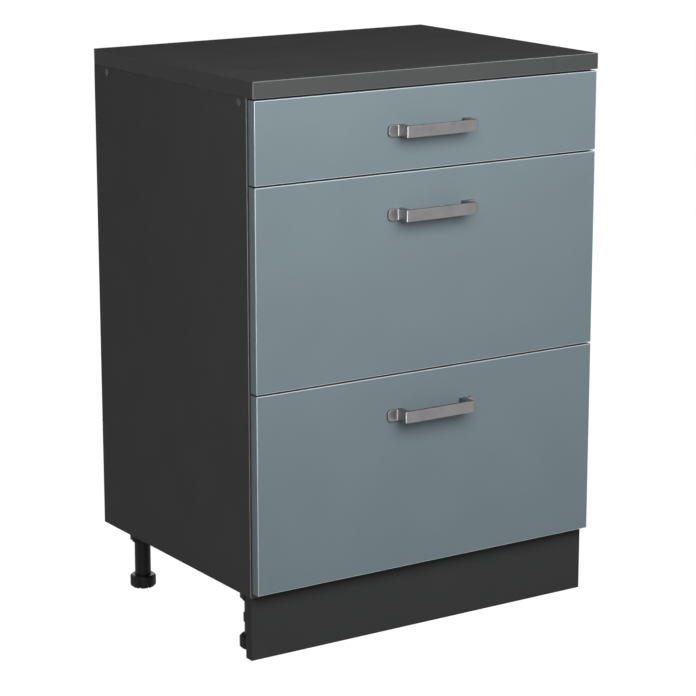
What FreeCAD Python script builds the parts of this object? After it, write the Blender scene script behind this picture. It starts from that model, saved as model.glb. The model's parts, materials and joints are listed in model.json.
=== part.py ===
import FreeCAD, Part
import os
import re

import Sketcher

# Kitchen base cabinet, 600 mm wide, with one shallow and two deep drawers, three bow handles,
# a plinth and four levelling feet. All lengths are millimetres. The origin lies on the floor under
# the middle of the whole unit, +Z is up, and the drawers open towards -Y.

SIZES = {
    # Carcass and worktop
    "unit_width": 600,
    "carcass_depth": 442,
    "carcass_height": 720,
    "board_thick": 16,
    "top_thick": 24,
    "top_round": 1,
    "rail_width": 80,
    "back_thick": 3,
    "back_inset": 12,
    "back_groove": 6,
    # Plinth and feet
    "plinth_height": 96,
    "plinth_lift": 1,
    "plinth_end_gap": 1,
    "foot_side_inset": 35,
    "foot_front_inset": 52,
    "foot_rear_inset": 58,
    "socket_diameter": 38,
    "socket_drop": 18,
    "collar_diameter": 31,
    "collar_drop": 22,
    "socket_roof": 4,
    "spigot_diameter": 8,
    "spigot_length": 12,
    "spigot_pitch": 22,
    "tube_diameter": 25,
    "tube_bore": 20,
    "tube_thread": 24,
    "tube_fit": 0.1,
    "base_diameter": 40,
    "base_height": 20,
    "base_chamfer": 3,
    "base_floor": 3.5,
    "base_lift": 0.5,
    "cup_fit": 0.3,
    "foot_retract": 4.5,
    "stem_diameter": 10,
    "stem_length": 52,
    "thread_fit": 0.05,
    "glide_diameter": 24,
    "glide_thick": 2.7,
    "glide_gap": 0.3,
    "glide_pin": 6,
    "glide_pin_length": 8,
    "notch_count": 8,
    "notch_width": 3,
    "notch_height": 3,
    "notch_reach": 6,
    "flute_diameter": 4,
    "flute_depth": 1.2,
    "clip_height": 12,
    "clip_level": 41,
    "clip_wall": 1.5,
    "clip_arm": 14,
    "clip_mouth": 17,
    "clip_plate": 30,
    "clip_plate_thick": 3,
    # Drawer fronts and handles
    "front_thick": 16,
    "front_round": 1,
    "front_gap": 2.5,
    "side_reveal": 2,
    "bottom_reveal": 7.5,
    "shallow_front": 118,
    "bumper_gap": 2,
    "bumper_diameter": 8,
    "bumper_margin": 22,
    "handle_drop": 59,
    "handle_reach": 26,
    "handle_height": 17,
    "handle_span": 156,
    "handle_pitch": 128,
    "bar_length": 123,
    "bar_thick": 6,
    "leg_thick": 10,
    "tab_thick": 4,
    "bar_end_round": 3,
    "tab_corner": 6,
    "handle_arris": 0.8,
    # Drawer boxes
    "side_thick": 12,
    "side_gap": 12.5,
    "panel_gap": 5.5,
    "rail_gap": 10.5,
    "deep_drop": 79.5,
    "rear_gap": 29,
    "base_board": 3,
    "base_rise": 10,
    "base_groove": 6,
    # Roller runners
    "steel_thick": 1.2,
    "runner_setback": 3,
    "roller_diameter": 20,
    "roller_gap": 0.3,
    "roller_inset": 15,
    "lip_gap": 0.6,
    "lip_width": 8,
    "axle_diameter": 5,
    "axle_fit": 0.05,
    "axle_head": 8,
    "axle_head_thick": 0.8,
    "shelf_width": 10,
    # Fasteners
    "screw_fit": 0.1,
    "confirmat_head": 10,
    "confirmat_head_thick": 3,
    "confirmat_neck": 7,
    "confirmat_thread": 5,
    "confirmat_length": 50,
    "rail_screw_front": 20,
    "rail_screw_rear": 40,
    "cap_diameter": 12,
    "cap_thick": 0.8,
    "dowel_diameter": 8,
    "dowel_length": 30,
    "dowel_depth": 10,
    "dowel_pitch": 34,
    "dowel_chamfer": 1,
    "cam_front": 100,
    "cam_rear": 110,
    "cam_diameter": 15,
    "cam_depth": 12.5,
    "cam_reach": 34,
    "cam_bolt_thread": 5,
    "cam_bolt_depth": 11,
    "cam_bolt_neck": 6,
    "small_cam_depth": 9.5,
    "small_cam_reach": 24,
    "cam_low": 40,
    "cam_high": 18,
    "wood_screw": 3.5,
    "wood_screw_length": 13,
    "wood_screw_head": 7,
    "wood_screw_head_thick": 1.6,
    "runner_screw_front": 37,
    "runner_screw_rear": 60,
    "top_screw": 4,
    "top_screw_length": 30,
    "top_screw_inset": 110,
    "back_screw": 4,
    "back_screw_length": 35,
    "back_screw_low": 30,
    "back_screw_high": 14,
    "handle_screw": 4,
    "handle_screw_grip": 3.2,
    "handle_screw_head": 8,
    "handle_screw_head_thick": 2.4,
    "recess_width": 1,
    "recess_depth": 1.2,
}

# Places and lengths that follow from the sizes above.
PLACES = {
    "half_width": "unit_width / 2",
    "inner_half": "half_width - board_thick",
    "inner_width": "2 * inner_half",
    "back_y": "(carcass_depth + bumper_gap + front_thick + handle_reach) / 2",
    "carcass_front_y": "back_y - carcass_depth",
    "front_back_y": "carcass_front_y - bumper_gap",
    "front_face_y": "front_back_y - front_thick",
    "carcass_top": "plinth_height + carcass_height",
    "rail_z": "carcass_height - board_thick / 2",
    "groove_start": "carcass_depth - back_inset - back_thick",
    "groove_end": "carcass_depth - back_inset",
    "foot_x": "half_width - foot_side_inset",
    "front_foot_y": "carcass_front_y + foot_front_inset",
    "rear_foot_y": "back_y - foot_rear_inset",
    "glide_top": "glide_thick + glide_gap",
    "cup_floor": "glide_top + base_floor",
    "base_top": "base_lift + base_height",
    "tube_end": "cup_floor + foot_retract",
    "tube_top": "plinth_height - socket_roof",
    "clip_reach": "foot_front_inset - board_thick",
    "front_width": "unit_width - 2 * side_reveal",
    "deep_front": "(carcass_height - bottom_reveal - 3 * front_gap - shallow_front) / 2",
    "bottom_front_z": "plinth_height + bottom_reveal",
    "middle_front_z": "bottom_front_z + deep_front + front_gap",
    "top_front_z": "middle_front_z + deep_front + front_gap",
    "box_rise": "board_thick - bottom_reveal + panel_gap",
    "shallow_side": "shallow_front - box_rise - (board_thick - front_gap + rail_gap)",
    "deep_side": "deep_front - box_rise - deep_drop",
    "box_half": "inner_half - side_gap",
    "box_inner_half": "box_half - side_thick",
    "box_length": "carcass_depth + bumper_gap - back_inset - back_thick - rear_gap",
    "box_end_y": "front_back_y + box_length",
    "base_top_z": "base_rise + base_board",
    "bar_half": "bar_length / 2",
    "grip_depth": "handle_reach - bar_thick",
    "runner_length": "box_length - bumper_gap - runner_setback",
    "roller_radius": "roller_diameter / 2",
    "roller_z": "steel_thick + roller_gap + roller_radius",
    "profile_top": "roller_z + roller_radius + roller_gap + steel_thick",
    "runner_top": "profile_top + lip_gap + steel_thick",
    "web_x": "side_gap - steel_thick",
    "roller_width": "web_x - steel_thick - wood_screw_head_thick - axle_head_thick - 3 * roller_gap",
    "front_roller_y": "carcass_front_y + runner_setback + roller_inset",
    "rear_roller_y": "box_end_y - roller_inset",
}

DRAWERS = (
    # name, place of the front's lower edge, height of the front, height of the side boards
    ("top", "top_front_z", "shallow_front", "shallow_side"),
    ("middle", "middle_front_z", "deep_front", "deep_side"),
    ("bottom", "bottom_front_z", "deep_front", "deep_side"),
)

doc = FreeCAD.newDocument("BaseCabinet")
sheet = doc.addObject("Spreadsheet::Sheet", "Sizes")
for row, (alias, value) in enumerate(SIZES.items(), start=1):
    sheet.set("A%d" % row, alias)
    sheet.set("B%d" % row, str(value))
    sheet.setAlias("B%d" % row, alias)
doc.recompute()

parts = []

# How sketches name an axis cross, a line's two ends and a circle's centre, and the value that a
# measure holds until its expression is read
ORIGIN, START, END, CENTRE = -1, 1, 2, 3
UNSET = 1.0

# Turns in degrees, how close a place counts as the same, and the least volume that a cut removes
QUARTER_TURN, THIRD_TURN, FULL_TURN = 90, 120, 360
NEAR = 0.01
SMALLEST_CUT = 0.001


# Expressions, sketches and features

def formula(text):
    """An expression in which size names point at the sheet and place names are written out."""
    def written(match):
        word = match.group(0)
        if word in PLACES:
            return "(" + formula(PLACES[word]) + ")"
        return "Sizes." + word if word in SIZES else word
    return re.sub(r"[a-z][a-z_]+", written, text)


def bind(item, prop, text):
    """Tie a property to an expression."""
    item.setExpression(prop, formula(text))


def bind_place(item, x, y, z):
    """Tie the position of an object to three expressions."""
    for axis, text in zip("xyz", (x, y, z)):
        bind(item, "Placement.Base." + axis, text)


def keep(item):
    """Count an object as a sub-part that is written out under its label."""
    parts.append(item)
    return item


def new_body(label, x="0", y="0", z="0"):
    """An empty body at a place."""
    body = doc.addObject("PartDesign::Body", label)
    body.Label = label
    bind_place(body, x, y, z)
    return body


def new_sketch(body, plane, lift="0"):
    """A sketch on one of the body's own planes, lifted along the plane's normal."""
    sketch = body.newObject("Sketcher::SketchObject", body.Name + "_sketch")
    support = [item for item in body.Origin.OriginFeatures if item.Role == plane + "_Plane"]
    sketch.AttachmentSupport = (support[0], [""])
    sketch.MapMode = "FlatFace"
    bind(sketch, "AttachmentOffset.Base.z", lift)
    return sketch


def pin_point(sketch, shape, point, x, y):
    """Hold a point of a sketch's shape at x and y from the sketch's origin."""
    for kind, text in (("DistanceX", x), ("DistanceY", y)):
        number = sketch.addConstraint(Sketcher.Constraint(kind, ORIGIN, START, shape, point, UNSET))
        bind(sketch, "Constraints[%d]" % number, text)


def add_outline(sketch, corners):
    """A closed outline of straight lines through the corners."""
    count = len(corners)
    start = [FreeCAD.Vector(step, step * step, 0) for step in range(count)]
    lines = [sketch.addGeometry(Part.LineSegment(start[step], start[(step + 1) % count]), False)
             for step in range(count)]
    for step, line in enumerate(lines):
        follower = lines[(step + 1) % count]
        sketch.addConstraint(Sketcher.Constraint("Coincident", line, END, follower, START))
    for line, (x, y) in zip(lines, corners):
        pin_point(sketch, line, START, x, y)


def add_rectangle(sketch, left, low, right, high):
    """A rectangle between two corners."""
    add_outline(sketch, [(left, low), (right, low), (right, high), (left, high)])


def add_circle(sketch, x, y, diameter):
    """A circle of a diameter about x and y."""
    normal = FreeCAD.Vector(0, 0, 1)
    circle = sketch.addGeometry(Part.Circle(FreeCAD.Vector(), normal, UNSET), False)
    pin_point(sketch, circle, CENTRE, x, y)
    number = sketch.addConstraint(Sketcher.Constraint("Diameter", circle, UNSET))
    bind(sketch, "Constraints[%d]" % number, diameter)


def extrude(body, sketch, length, kind="Pad", reverse=False, middle=False):
    """A pad or pocket of a sketch; a pocket goes against the sketch's normal unless reversed."""
    feature = body.newObject("PartDesign::" + kind, body.Name + "_" + kind.lower())
    feature.Profile = sketch
    feature.Reversed = reverse
    feature.Midplane = middle
    bind(feature, "Length", length)
    sketch.Visibility = False
    return feature


def spin(body, corners):
    """A solid turned about the body's Z axis from an outline of radii and heights."""
    sketch = new_sketch(body, "XZ")
    add_outline(sketch, corners)
    feature = body.newObject("PartDesign::Revolution", body.Name + "_turned")
    feature.Profile = sketch
    feature.ReferenceAxis = (sketch, ["V_Axis"])
    feature.Angle = FULL_TURN
    return feature


def drill(body, plane, lift, centres, diameter, depth, reverse=False):
    """Round holes of one diameter and depth from a plane of the body."""
    sketch = new_sketch(body, plane, lift)
    for x, y in centres:
        add_circle(sketch, x, y, diameter)
    return extrude(body, sketch, depth, "Pocket", reverse)


def groove(body, plane, lift, corners, depth, reverse=False):
    """A straight-sided groove from a plane of the body."""
    sketch = new_sketch(body, plane, lift)
    add_rectangle(sketch, *corners)
    return extrude(body, sketch, depth, "Pocket", reverse)


def new_board(label, place, plane, width, height, thick):
    """A rectangular board in one of the body's planes, as thick as given along its normal."""
    body = new_body(label, *place)
    sketch = new_sketch(body, plane)
    add_rectangle(sketch, "0", "0", width, height)
    extrude(body, sketch, thick)
    return body


def round_edges(body, radius, chosen):
    """A fillet on every edge of the body whose bounding box passes the test."""
    doc.recompute()
    base = body.Tip
    names = ["Edge%d" % number for number, edge in enumerate(base.Shape.Edges, start=1)
             if chosen(edge.BoundBox)]
    feature = body.newObject("PartDesign::Fillet", body.Name + "_round")
    feature.Base = (base, names)
    bind(feature, "Radius", radius)
    return feature


def mirror(item, label):
    """The other hand of an object, mirrored in the unit's middle plane."""
    other = doc.addObject("Part::Mirroring", label)
    other.Label = label
    other.Source = item
    other.Normal = FreeCAD.Vector(1, 0, 0)
    return other


def copy_at(item, x, y, z, axis=(0, 0, 1), angle=0):
    """A linked copy of an object, turned about an axis and moved to a place."""
    link = doc.addObject("App::Link", item.Name + "_copy")
    link.LinkedObject = item
    link.LinkTransform = False
    turn = FreeCAD.Rotation(FreeCAD.Vector(*axis), angle)
    link.Placement = FreeCAD.Placement(FreeCAD.Vector(), turn)
    bind_place(link, x, y, z)
    return link


def group(label, items):
    """Like pieces that share one name, each a solid of its own."""
    compound = doc.addObject("Part::Compound", label)
    compound.Label = label
    compound.Links = items
    return keep(compound)


def both_sides(label, left, middle=()):
    """Left-hand pieces with their mirror images, and any pieces that have no other hand."""
    half = doc.addObject("Part::Compound", label + "_left")
    half.Links = left
    return group(label, [half, mirror(half, label + "_right")] + list(middle))


# Fastener patterns: the outer face of each head lies at z = 0 and its tip points along +Z

def new_screw(label, thread, length, head, head_thick):
    """A turned screw with a chamfered head, a cross recess and a pointed tip."""
    body = new_body(label)
    spin(body, [("0", "0"), ("%s / 2 - %s / 2" % (head, head_thick), "0"),
                (head + " / 2", head_thick + " / 2"),
                (head + " / 2", head_thick), (thread + " / 2", head_thick),
                (thread + " / 2", length + " - " + thread), ("0", length)])
    arm = head + " / 4"
    wing = "recess_width / 2"
    for half_x, half_y in ((arm, wing), (wing, arm)):
        groove(body, "XY", "0", ("-" + half_x, "-" + half_y, half_x, half_y), "recess_depth", True)
    return body


def new_confirmat():
    """A one-piece furniture screw: flat head, plain neck and thinner thread."""
    body = new_body("confirmat_pattern")
    spin(body, [("0", "0"), ("confirmat_head / 2", "0"), ("confirmat_neck / 2", "confirmat_head_thick"),
                ("confirmat_neck / 2", "board_thick"), ("confirmat_thread / 2", "board_thick"),
                ("confirmat_thread / 2", "confirmat_length - confirmat_thread"),
                ("0", "confirmat_length")])
    drill(body, "XY", "0", [("0", "0")], "confirmat_thread", "recess_depth", True)
    return body


def new_cam_bolt(label, reach):
    """A cam bolt: the thread sits in one board and the neck and ball head reach into the cam."""
    body = new_body(label)
    spin(body, [("0", "-cam_bolt_depth"), ("cam_bolt_thread / 2", "-cam_bolt_depth"),
                ("cam_bolt_thread / 2", "0"), ("cam_bolt_neck / 2", "0"),
                ("cam_bolt_neck / 2", reach + " - 2 * cam_bolt_neck"),
                ("cam_bolt_neck / 4", reach + " - 2 * cam_bolt_neck"),
                ("cam_bolt_neck / 4", reach + " - cam_bolt_neck / 2"),
                ("cam_bolt_neck / 2", reach + " - cam_bolt_neck / 2"),
                ("cam_bolt_neck / 2", reach), ("0", reach)])
    return body


def new_cam(label, depth):
    """A cam housing: a short cylinder, open where the bolt enters along -X, with a cross recess."""
    body = new_body(label)
    sketch = new_sketch(body, "XY")
    add_circle(sketch, "0", "0", "cam_diameter")
    extrude(body, sketch, depth)
    groove(body, "XY", depth, ("-cam_diameter", "-(cam_bolt_neck / 2 + screw_fit)",
                               "cam_bolt_neck / 2", "cam_bolt_neck / 2 + screw_fit"),
           depth + " - 2 * recess_depth")
    arm = "cam_diameter / 4"
    wing = "recess_width / 2"
    for half_x, half_y in ((arm, wing), (wing, arm)):
        groove(body, "XY", "0", ("-" + half_x, "-" + half_y, half_x, half_y), "recess_depth", True)
    return body


confirmat = new_confirmat()
cam_bolt = new_cam_bolt("cam_bolt_pattern", "cam_reach")
small_cam_bolt = new_cam_bolt("small_cam_bolt_pattern", "small_cam_reach")
cam = new_cam("cam_pattern", "cam_depth")
small_cam = new_cam("small_cam_pattern", "small_cam_depth")
wood_screw = new_screw("wood_screw_pattern", "wood_screw", "wood_screw_length",
                       "wood_screw_head", "wood_screw_head_thick")
top_screw = new_screw("top_screw_pattern", "top_screw", "top_screw_length",
                      "wood_screw_head", "wood_screw_head_thick")
back_screw = new_screw("back_screw_pattern", "back_screw", "back_screw_length",
                       "wood_screw_head", "wood_screw_head_thick")
handle_screw = new_screw("handle_screw_pattern", "handle_screw",
                         "(handle_screw_head_thick + front_thick + handle_screw_grip)",
                         "handle_screw_head", "handle_screw_head_thick")
dowel = new_body("dowel_pattern")
spin(dowel, [("0", "0"), ("dowel_diameter / 2 - dowel_chamfer", "0"),
             ("dowel_diameter / 2", "dowel_chamfer"),
             ("dowel_diameter / 2", "dowel_length - dowel_chamfer"),
             ("dowel_diameter / 2 - dowel_chamfer", "dowel_length"), ("0", "dowel_length")])


# Carcass

def make_side_panel():
    """The left side panel, bored for the rails, the bottom panel, the dowels and the runners."""
    body = new_board("left_side_panel", ("-half_width", "carcass_front_y", "plinth_height"), "YZ",
                     "carcass_depth", "carcass_height", "board_thick")
    groove(body, "YZ", "board_thick", ("groove_start", "0", "groove_end", "carcass_height"),
           "back_groove")
    rail_holes = [("rail_screw_front", "rail_z"), ("carcass_depth - rail_screw_rear", "rail_z")]
    drill(body, "YZ", "0", rail_holes, "confirmat_neck + 2 * screw_fit", "board_thick", True)
    drill(body, "YZ", "0", rail_holes, "confirmat_head + 2 * screw_fit", "confirmat_head_thick", True)
    drill(body, "YZ", "board_thick", [("cam_front", "board_thick / 2"),
                                      ("carcass_depth - cam_rear", "board_thick / 2")],
          "cam_bolt_thread + 2 * screw_fit", "cam_bolt_depth + screw_fit")
    drill(body, "YZ", "board_thick", dowel_places(), "dowel_diameter + 2 * screw_fit",
          "dowel_depth + screw_fit")
    runner_holes = []
    for name, front_z, front_height, side_height in DRAWERS:
        level = front_z + " + box_rise - steel_thick + roller_z - plinth_height"
        runner_holes += [("runner_setback + runner_screw_front", level),
                         ("runner_setback + runner_length - runner_screw_rear", level)]
    drill(body, "YZ", "board_thick", runner_holes, "wood_screw + 2 * screw_fit", "wood_screw_length")
    return body


def dowel_places():
    """Places of the dowels on a side panel, as distances from its front edge and its lower edge."""
    return [("cam_front + dowel_pitch", "board_thick / 2"),
            ("carcass_depth - cam_rear - dowel_pitch", "board_thick / 2"),
            ("rail_screw_front + dowel_pitch", "rail_z"),
            ("carcass_depth - rail_screw_rear - dowel_pitch", "rail_z")]


def make_bottom_panel():
    """The bottom panel, grooved for the back and bored for cams, dowels and foot sockets."""
    body = new_board("bottom_panel", ("-inner_half", "carcass_front_y", "plinth_height"), "XY",
                     "inner_width", "carcass_depth", "board_thick")
    groove(body, "XY", "board_thick", ("0", "groove_start", "inner_width", "groove_end"), "back_groove")
    bolts = [("cam_front", "board_thick / 2"), ("carcass_depth - cam_rear", "board_thick / 2")]
    cams = [(x, y) for x in ("cam_reach", "inner_width - cam_reach")
            for y in ("cam_front", "carcass_depth - cam_rear")]
    drill(body, "XY", "0", cams, "cam_diameter + 2 * screw_fit", "cam_depth + screw_fit", True)
    spigots = [("inner_half %s foot_x" % side, "%s %s spigot_pitch / 2" % (y, shift))
               for side in "-+" for y in ("foot_front_inset", "carcass_depth - foot_rear_inset")
               for shift in "-+"]
    drill(body, "XY", "0", spigots, "spigot_diameter + 2 * screw_fit", "spigot_length + screw_fit", True)
    for lift, reverse in (("0", True), ("inner_width", False)):
        drill(body, "YZ", lift, bolts, "cam_bolt_neck + 2 * screw_fit", "cam_reach", reverse)
        drill(body, "YZ", lift, dowel_places()[:2], "dowel_diameter + 2 * screw_fit",
              "dowel_length - dowel_depth + screw_fit", reverse)
    return body


def make_rail(label, start, screw, dowel_at):
    """A top rail between the side panels; start, screw and dowel_at are measured from the front."""
    body = new_board(label, ("-inner_half", "carcass_front_y + " + start, "carcass_top - board_thick"),
                     "XY", "inner_width", "rail_width", "board_thick")
    for lift, reverse in (("0", True), ("inner_width", False)):
        drill(body, "YZ", lift, [(screw + " - (" + start + ")", "board_thick / 2")],
              "confirmat_thread + 2 * screw_fit", "confirmat_length - board_thick + screw_fit", reverse)
        drill(body, "YZ", lift, [(dowel_at + " - (" + start + ")", "board_thick / 2")],
              "dowel_diameter + 2 * screw_fit", "dowel_length - dowel_depth + screw_fit", reverse)
    drill(body, "XY", "0", [("top_screw_inset", "rail_width / 2"),
                            ("inner_width - top_screw_inset", "rail_width / 2")],
          "top_screw + 2 * screw_fit", "board_thick", True)
    return keep(body)


def make_worktop():
    """The worktop, flush with the sides, the back and the drawer fronts' faces."""
    body = new_board("worktop", ("-half_width", "front_face_y", "carcass_top"), "XY",
                     "unit_width", "back_y - front_face_y", "top_thick")
    holes = [("half_width %s (inner_half - top_screw_inset)" % side,
              "carcass_front_y - front_face_y + %s rail_width / 2" % rail)
             for side in "-+" for rail in ("", "groove_start - ")]
    drill(body, "XY", "0", holes, "top_screw + 2 * screw_fit",
          "top_screw_length - wood_screw_head_thick - board_thick + screw_fit", True)
    top = SIZES["top_thick"]
    round_edges(body, "top_round", lambda box: box.ZMin > top - NEAR)
    return keep(body)


left_side = keep(make_side_panel())
keep(mirror(left_side, "right_side_panel"))
keep(make_bottom_panel())
make_rail("front_rail", "0", "rail_screw_front", "rail_screw_front + dowel_pitch")
make_rail("rear_rail", "groove_start - rail_width", "carcass_depth - rail_screw_rear",
          "carcass_depth - rail_screw_rear - dowel_pitch")
keep(new_board("back_panel",
               ("-(inner_half + back_groove)", "back_y - back_inset",
                "plinth_height + board_thick - back_groove"),
               "XZ", "2 * (inner_half + back_groove)", "carcass_height - board_thick + back_groove",
               "back_thick"))
make_worktop()
keep(new_board("plinth_board",
               ("-(half_width - plinth_end_gap)", "carcass_front_y + board_thick", "plinth_lift"),
               "XZ", "2 * (half_width - plinth_end_gap)", "plinth_height - plinth_lift", "board_thick"))


# Fasteners of the carcass

def driven(item, x, y, z):
    """A fastener driven from the left towards +X."""
    return copy_at(item, x, y, z, (0, 1, 0), QUARTER_TURN)


rail_screws = []
screw_caps = []
cap = new_body("cap_pattern")
spin(cap, [("0", "0"), ("cap_diameter / 2", "0"), ("cap_diameter / 2", "cap_thick / 2"),
           ("cap_diameter / 2 - cap_thick / 2", "cap_thick"), ("0", "cap_thick")])
for place in ("rail_screw_front", "carcass_depth - rail_screw_rear"):
    level = "plinth_height + rail_z"
    rail_screws.append(driven(confirmat, "-half_width", "carcass_front_y + " + place, level))
    screw_caps.append(copy_at(cap, "-half_width", "carcass_front_y + " + place, level,
                              (0, 1, 0), -QUARTER_TURN))
both_sides("rail_screws", rail_screws)
both_sides("screw_caps", screw_caps)

bolts = []
cams = []
for place in ("cam_front", "carcass_depth - cam_rear"):
    y = "carcass_front_y + " + place
    bolts.append(driven(cam_bolt, "-inner_half", y, "plinth_height + board_thick / 2"))
    cams.append(copy_at(cam, "-inner_half + cam_reach", y, "plinth_height"))
both_sides("cam_bolts", bolts)
both_sides("cam_housings", cams)

both_sides("dowels", [driven(dowel, "-inner_half - dowel_depth", "carcass_front_y + " + y,
                             "plinth_height + " + z) for y, z in dowel_places()])

group("worktop_screws",
      [copy_at(top_screw, side + "(inner_half - top_screw_inset)", "carcass_front_y + " + y,
               "carcass_top - board_thick - wood_screw_head_thick")
       for side in "-+" for y in ("rail_width / 2", "groove_start - rail_width / 2")])

bumper = new_body("bumper_pattern")
spin(bumper, [("0", "0"), ("bumper_diameter / 2", "0"),
              ("bumper_diameter / 2 - bumper_gap / 2", "bumper_gap"), ("0", "bumper_gap")])
bumpers = []
for name, front_z, front_height, side_height in DRAWERS:
    for level in ("bumper_margin", front_height + " - bumper_margin"):
        bumpers.append(copy_at(bumper, "-half_width + board_thick / 2", "carcass_front_y",
                               front_z + " + " + level, (1, 0, 0), QUARTER_TURN))
both_sides("bumpers", bumpers)


# Feet and plinth clips

FEET = (
    # name, x, y
    ("front_left", "-foot_x", "front_foot_y"),
    ("front_right", "foot_x", "front_foot_y"),
    ("rear_left", "-foot_x", "rear_foot_y"),
    ("rear_right", "foot_x", "rear_foot_y"),
)

socket = new_body("socket_pattern")
tube_hole = "(tube_diameter / 2 + tube_fit)"
spin(socket, [("0", "0"), ("socket_diameter / 2", "0"), ("socket_diameter / 2", "-socket_drop"),
              ("collar_diameter / 2", "-socket_drop"), ("collar_diameter / 2", "-collar_drop"),
              (tube_hole, "-collar_drop"), (tube_hole, "-socket_roof"), ("0", "-socket_roof")])
spigots = new_sketch(socket, "XY")
for shift in "-+":
    add_circle(spigots, "0", shift + "spigot_pitch / 2", "spigot_diameter")
extrude(socket, spigots, "spigot_length")
group("foot_sockets", [copy_at(socket, x, y, "plinth_height") for name, x, y in FEET])

tube = new_body("tube_pattern")
nut_top = "tube_end + tube_thread"
nut_hole = "stem_diameter / 2 + thread_fit"
spin(tube, [(nut_hole, "tube_end"), ("tube_diameter / 2", "tube_end"), ("tube_diameter / 2", "tube_top"),
            ("tube_bore / 2", "tube_top"), ("tube_bore / 2", nut_top), (nut_hole, nut_top)])
group("leg_tubes", [copy_at(tube, x, y, "0") for name, x, y in FEET])


def make_spindle(label, x, y):
    """The threaded stem in one piece with the notched base that is turned by hand."""
    body = new_body(label, x, y)
    pin_hole = "glide_pin / 2 + thread_fit"
    pin_end = "glide_thick + glide_pin_length + glide_gap"
    cup = "tube_diameter / 2 + cup_fit"
    stem_top = "cup_floor + stem_length"
    spin(body, [(pin_hole, "glide_top"), ("glide_diameter / 2 + glide_gap", "glide_top"),
                ("glide_diameter / 2 + glide_gap", "base_lift"),
                ("base_diameter / 2 - base_chamfer", "base_lift"),
                ("base_diameter / 2", "base_lift + base_chamfer"),
                ("base_diameter / 2", "base_top - base_chamfer"),
                ("base_diameter / 2 - base_chamfer", "base_top"), (cup, "base_top"),
                (cup, "cup_floor"), ("stem_diameter / 2", "cup_floor"), ("stem_diameter / 2", stem_top),
                ("0", stem_top), ("0", pin_end), (pin_hole, pin_end)])
    notch = groove(body, "XY", "base_lift",
                   ("base_diameter / 2 - notch_reach", "-notch_width / 2",
                    "base_diameter / 2", "notch_width / 2"), "notch_height", True)
    flute = drill(body, "XY", "base_lift",
                  [("base_diameter / 2 + flute_diameter / 2 - flute_depth", "0")],
                  "flute_diameter", "base_height", True)
    ring = body.newObject("PartDesign::PolarPattern", body.Name + "_notches")
    ring.Originals = [notch, flute]
    axis = [item for item in body.Origin.OriginFeatures if item.Role == "Z_Axis"]
    ring.Axis = (axis[0], [""])
    ring.Angle = FULL_TURN
    bind(ring, "Occurrences", "notch_count")
    body.Tip = ring
    return keep(body)


def make_glide(label, x, y):
    """The glide that rests on the floor while the spindle turns on its pin."""
    body = new_body(label, x, y)
    pin_top = "glide_thick + glide_pin_length"
    spin(body, [("0", "0"), ("glide_diameter / 2 - glide_gap", "0"), ("glide_diameter / 2", "glide_gap"),
                ("glide_diameter / 2", "glide_thick"), ("glide_pin / 2", "glide_thick"),
                ("glide_pin / 2", pin_top), ("0", pin_top)])
    return keep(body)


for name, x, y in FEET:
    make_spindle(name + "_foot", x, y)
    make_glide(name + "_glide", x, y)


def make_clip():
    """A snap clip: a ring round the tube, open at the back, on an arm to the plinth board."""
    ring = doc.addObject("Part::Cylinder", "clip_ring")
    bind(ring, "Radius", "tube_diameter / 2 + tube_fit + clip_wall")
    bind(ring, "Height", "clip_height")
    arm = doc.addObject("Part::Box", "clip_bar")
    bind(arm, "Length", "clip_arm")
    bind(arm, "Width", "clip_reach")
    bind(arm, "Height", "clip_height")
    bind_place(arm, "-clip_arm / 2", "-clip_reach", "0")
    plate = doc.addObject("Part::Box", "clip_foot")
    bind(plate, "Length", "clip_plate")
    bind(plate, "Width", "clip_plate_thick")
    bind(plate, "Height", "2 * clip_height")
    bind_place(plate, "-clip_plate / 2", "-clip_reach", "-clip_height / 2")
    solid = doc.addObject("Part::MultiFuse", "clip_solid")
    solid.Shapes = [ring, arm, plate]
    bore = doc.addObject("Part::Cylinder", "clip_bore")
    bind(bore, "Radius", "tube_diameter / 2 + tube_fit")
    bind(bore, "Height", "clip_height")
    mouth = doc.addObject("Part::Box", "clip_mouth_space")
    bind(mouth, "Length", "clip_mouth")
    bind(mouth, "Width", "tube_diameter")
    bind(mouth, "Height", "clip_height")
    bind_place(mouth, "-clip_mouth / 2", "0", "0")
    space = doc.addObject("Part::MultiFuse", "clip_space")
    space.Shapes = [bore, mouth]
    clip = doc.addObject("Part::Cut", "clip_pattern")
    clip.Base = solid
    clip.Tool = space
    return clip


clip = make_clip()
group("plinth_clips", [copy_at(clip, side + "foot_x", "front_foot_y", "clip_level") for side in "-+"])


# Roller runners: patterns for the left side, with the lower edge of the drawer box at z = 0

def make_cabinet_runner():
    """A channel screwed to the side panel, with the axle of the front roller."""
    body = new_body("cabinet_runner_pattern", "-inner_half",
                    "carcass_front_y + runner_setback + runner_length", "-steel_thick")
    sketch = new_sketch(body, "XZ")
    add_outline(sketch, [("0", "0"), ("web_x - roller_gap", "0"), ("web_x - roller_gap", "steel_thick"),
                         ("steel_thick", "steel_thick"), ("steel_thick", "runner_top - steel_thick"),
                         ("lip_width", "runner_top - steel_thick"), ("lip_width", "runner_top"),
                         ("0", "runner_top")])
    extrude(body, sketch, "runner_length")
    add_axle(body, "-(runner_length - roller_inset)", "steel_thick", False)
    drill(body, "YZ", "steel_thick",
          [("-(runner_length - runner_screw_front)", "roller_z"), ("-runner_screw_rear", "roller_z")],
          "wood_screw + 2 * screw_fit", "steel_thick")
    return body


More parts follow.
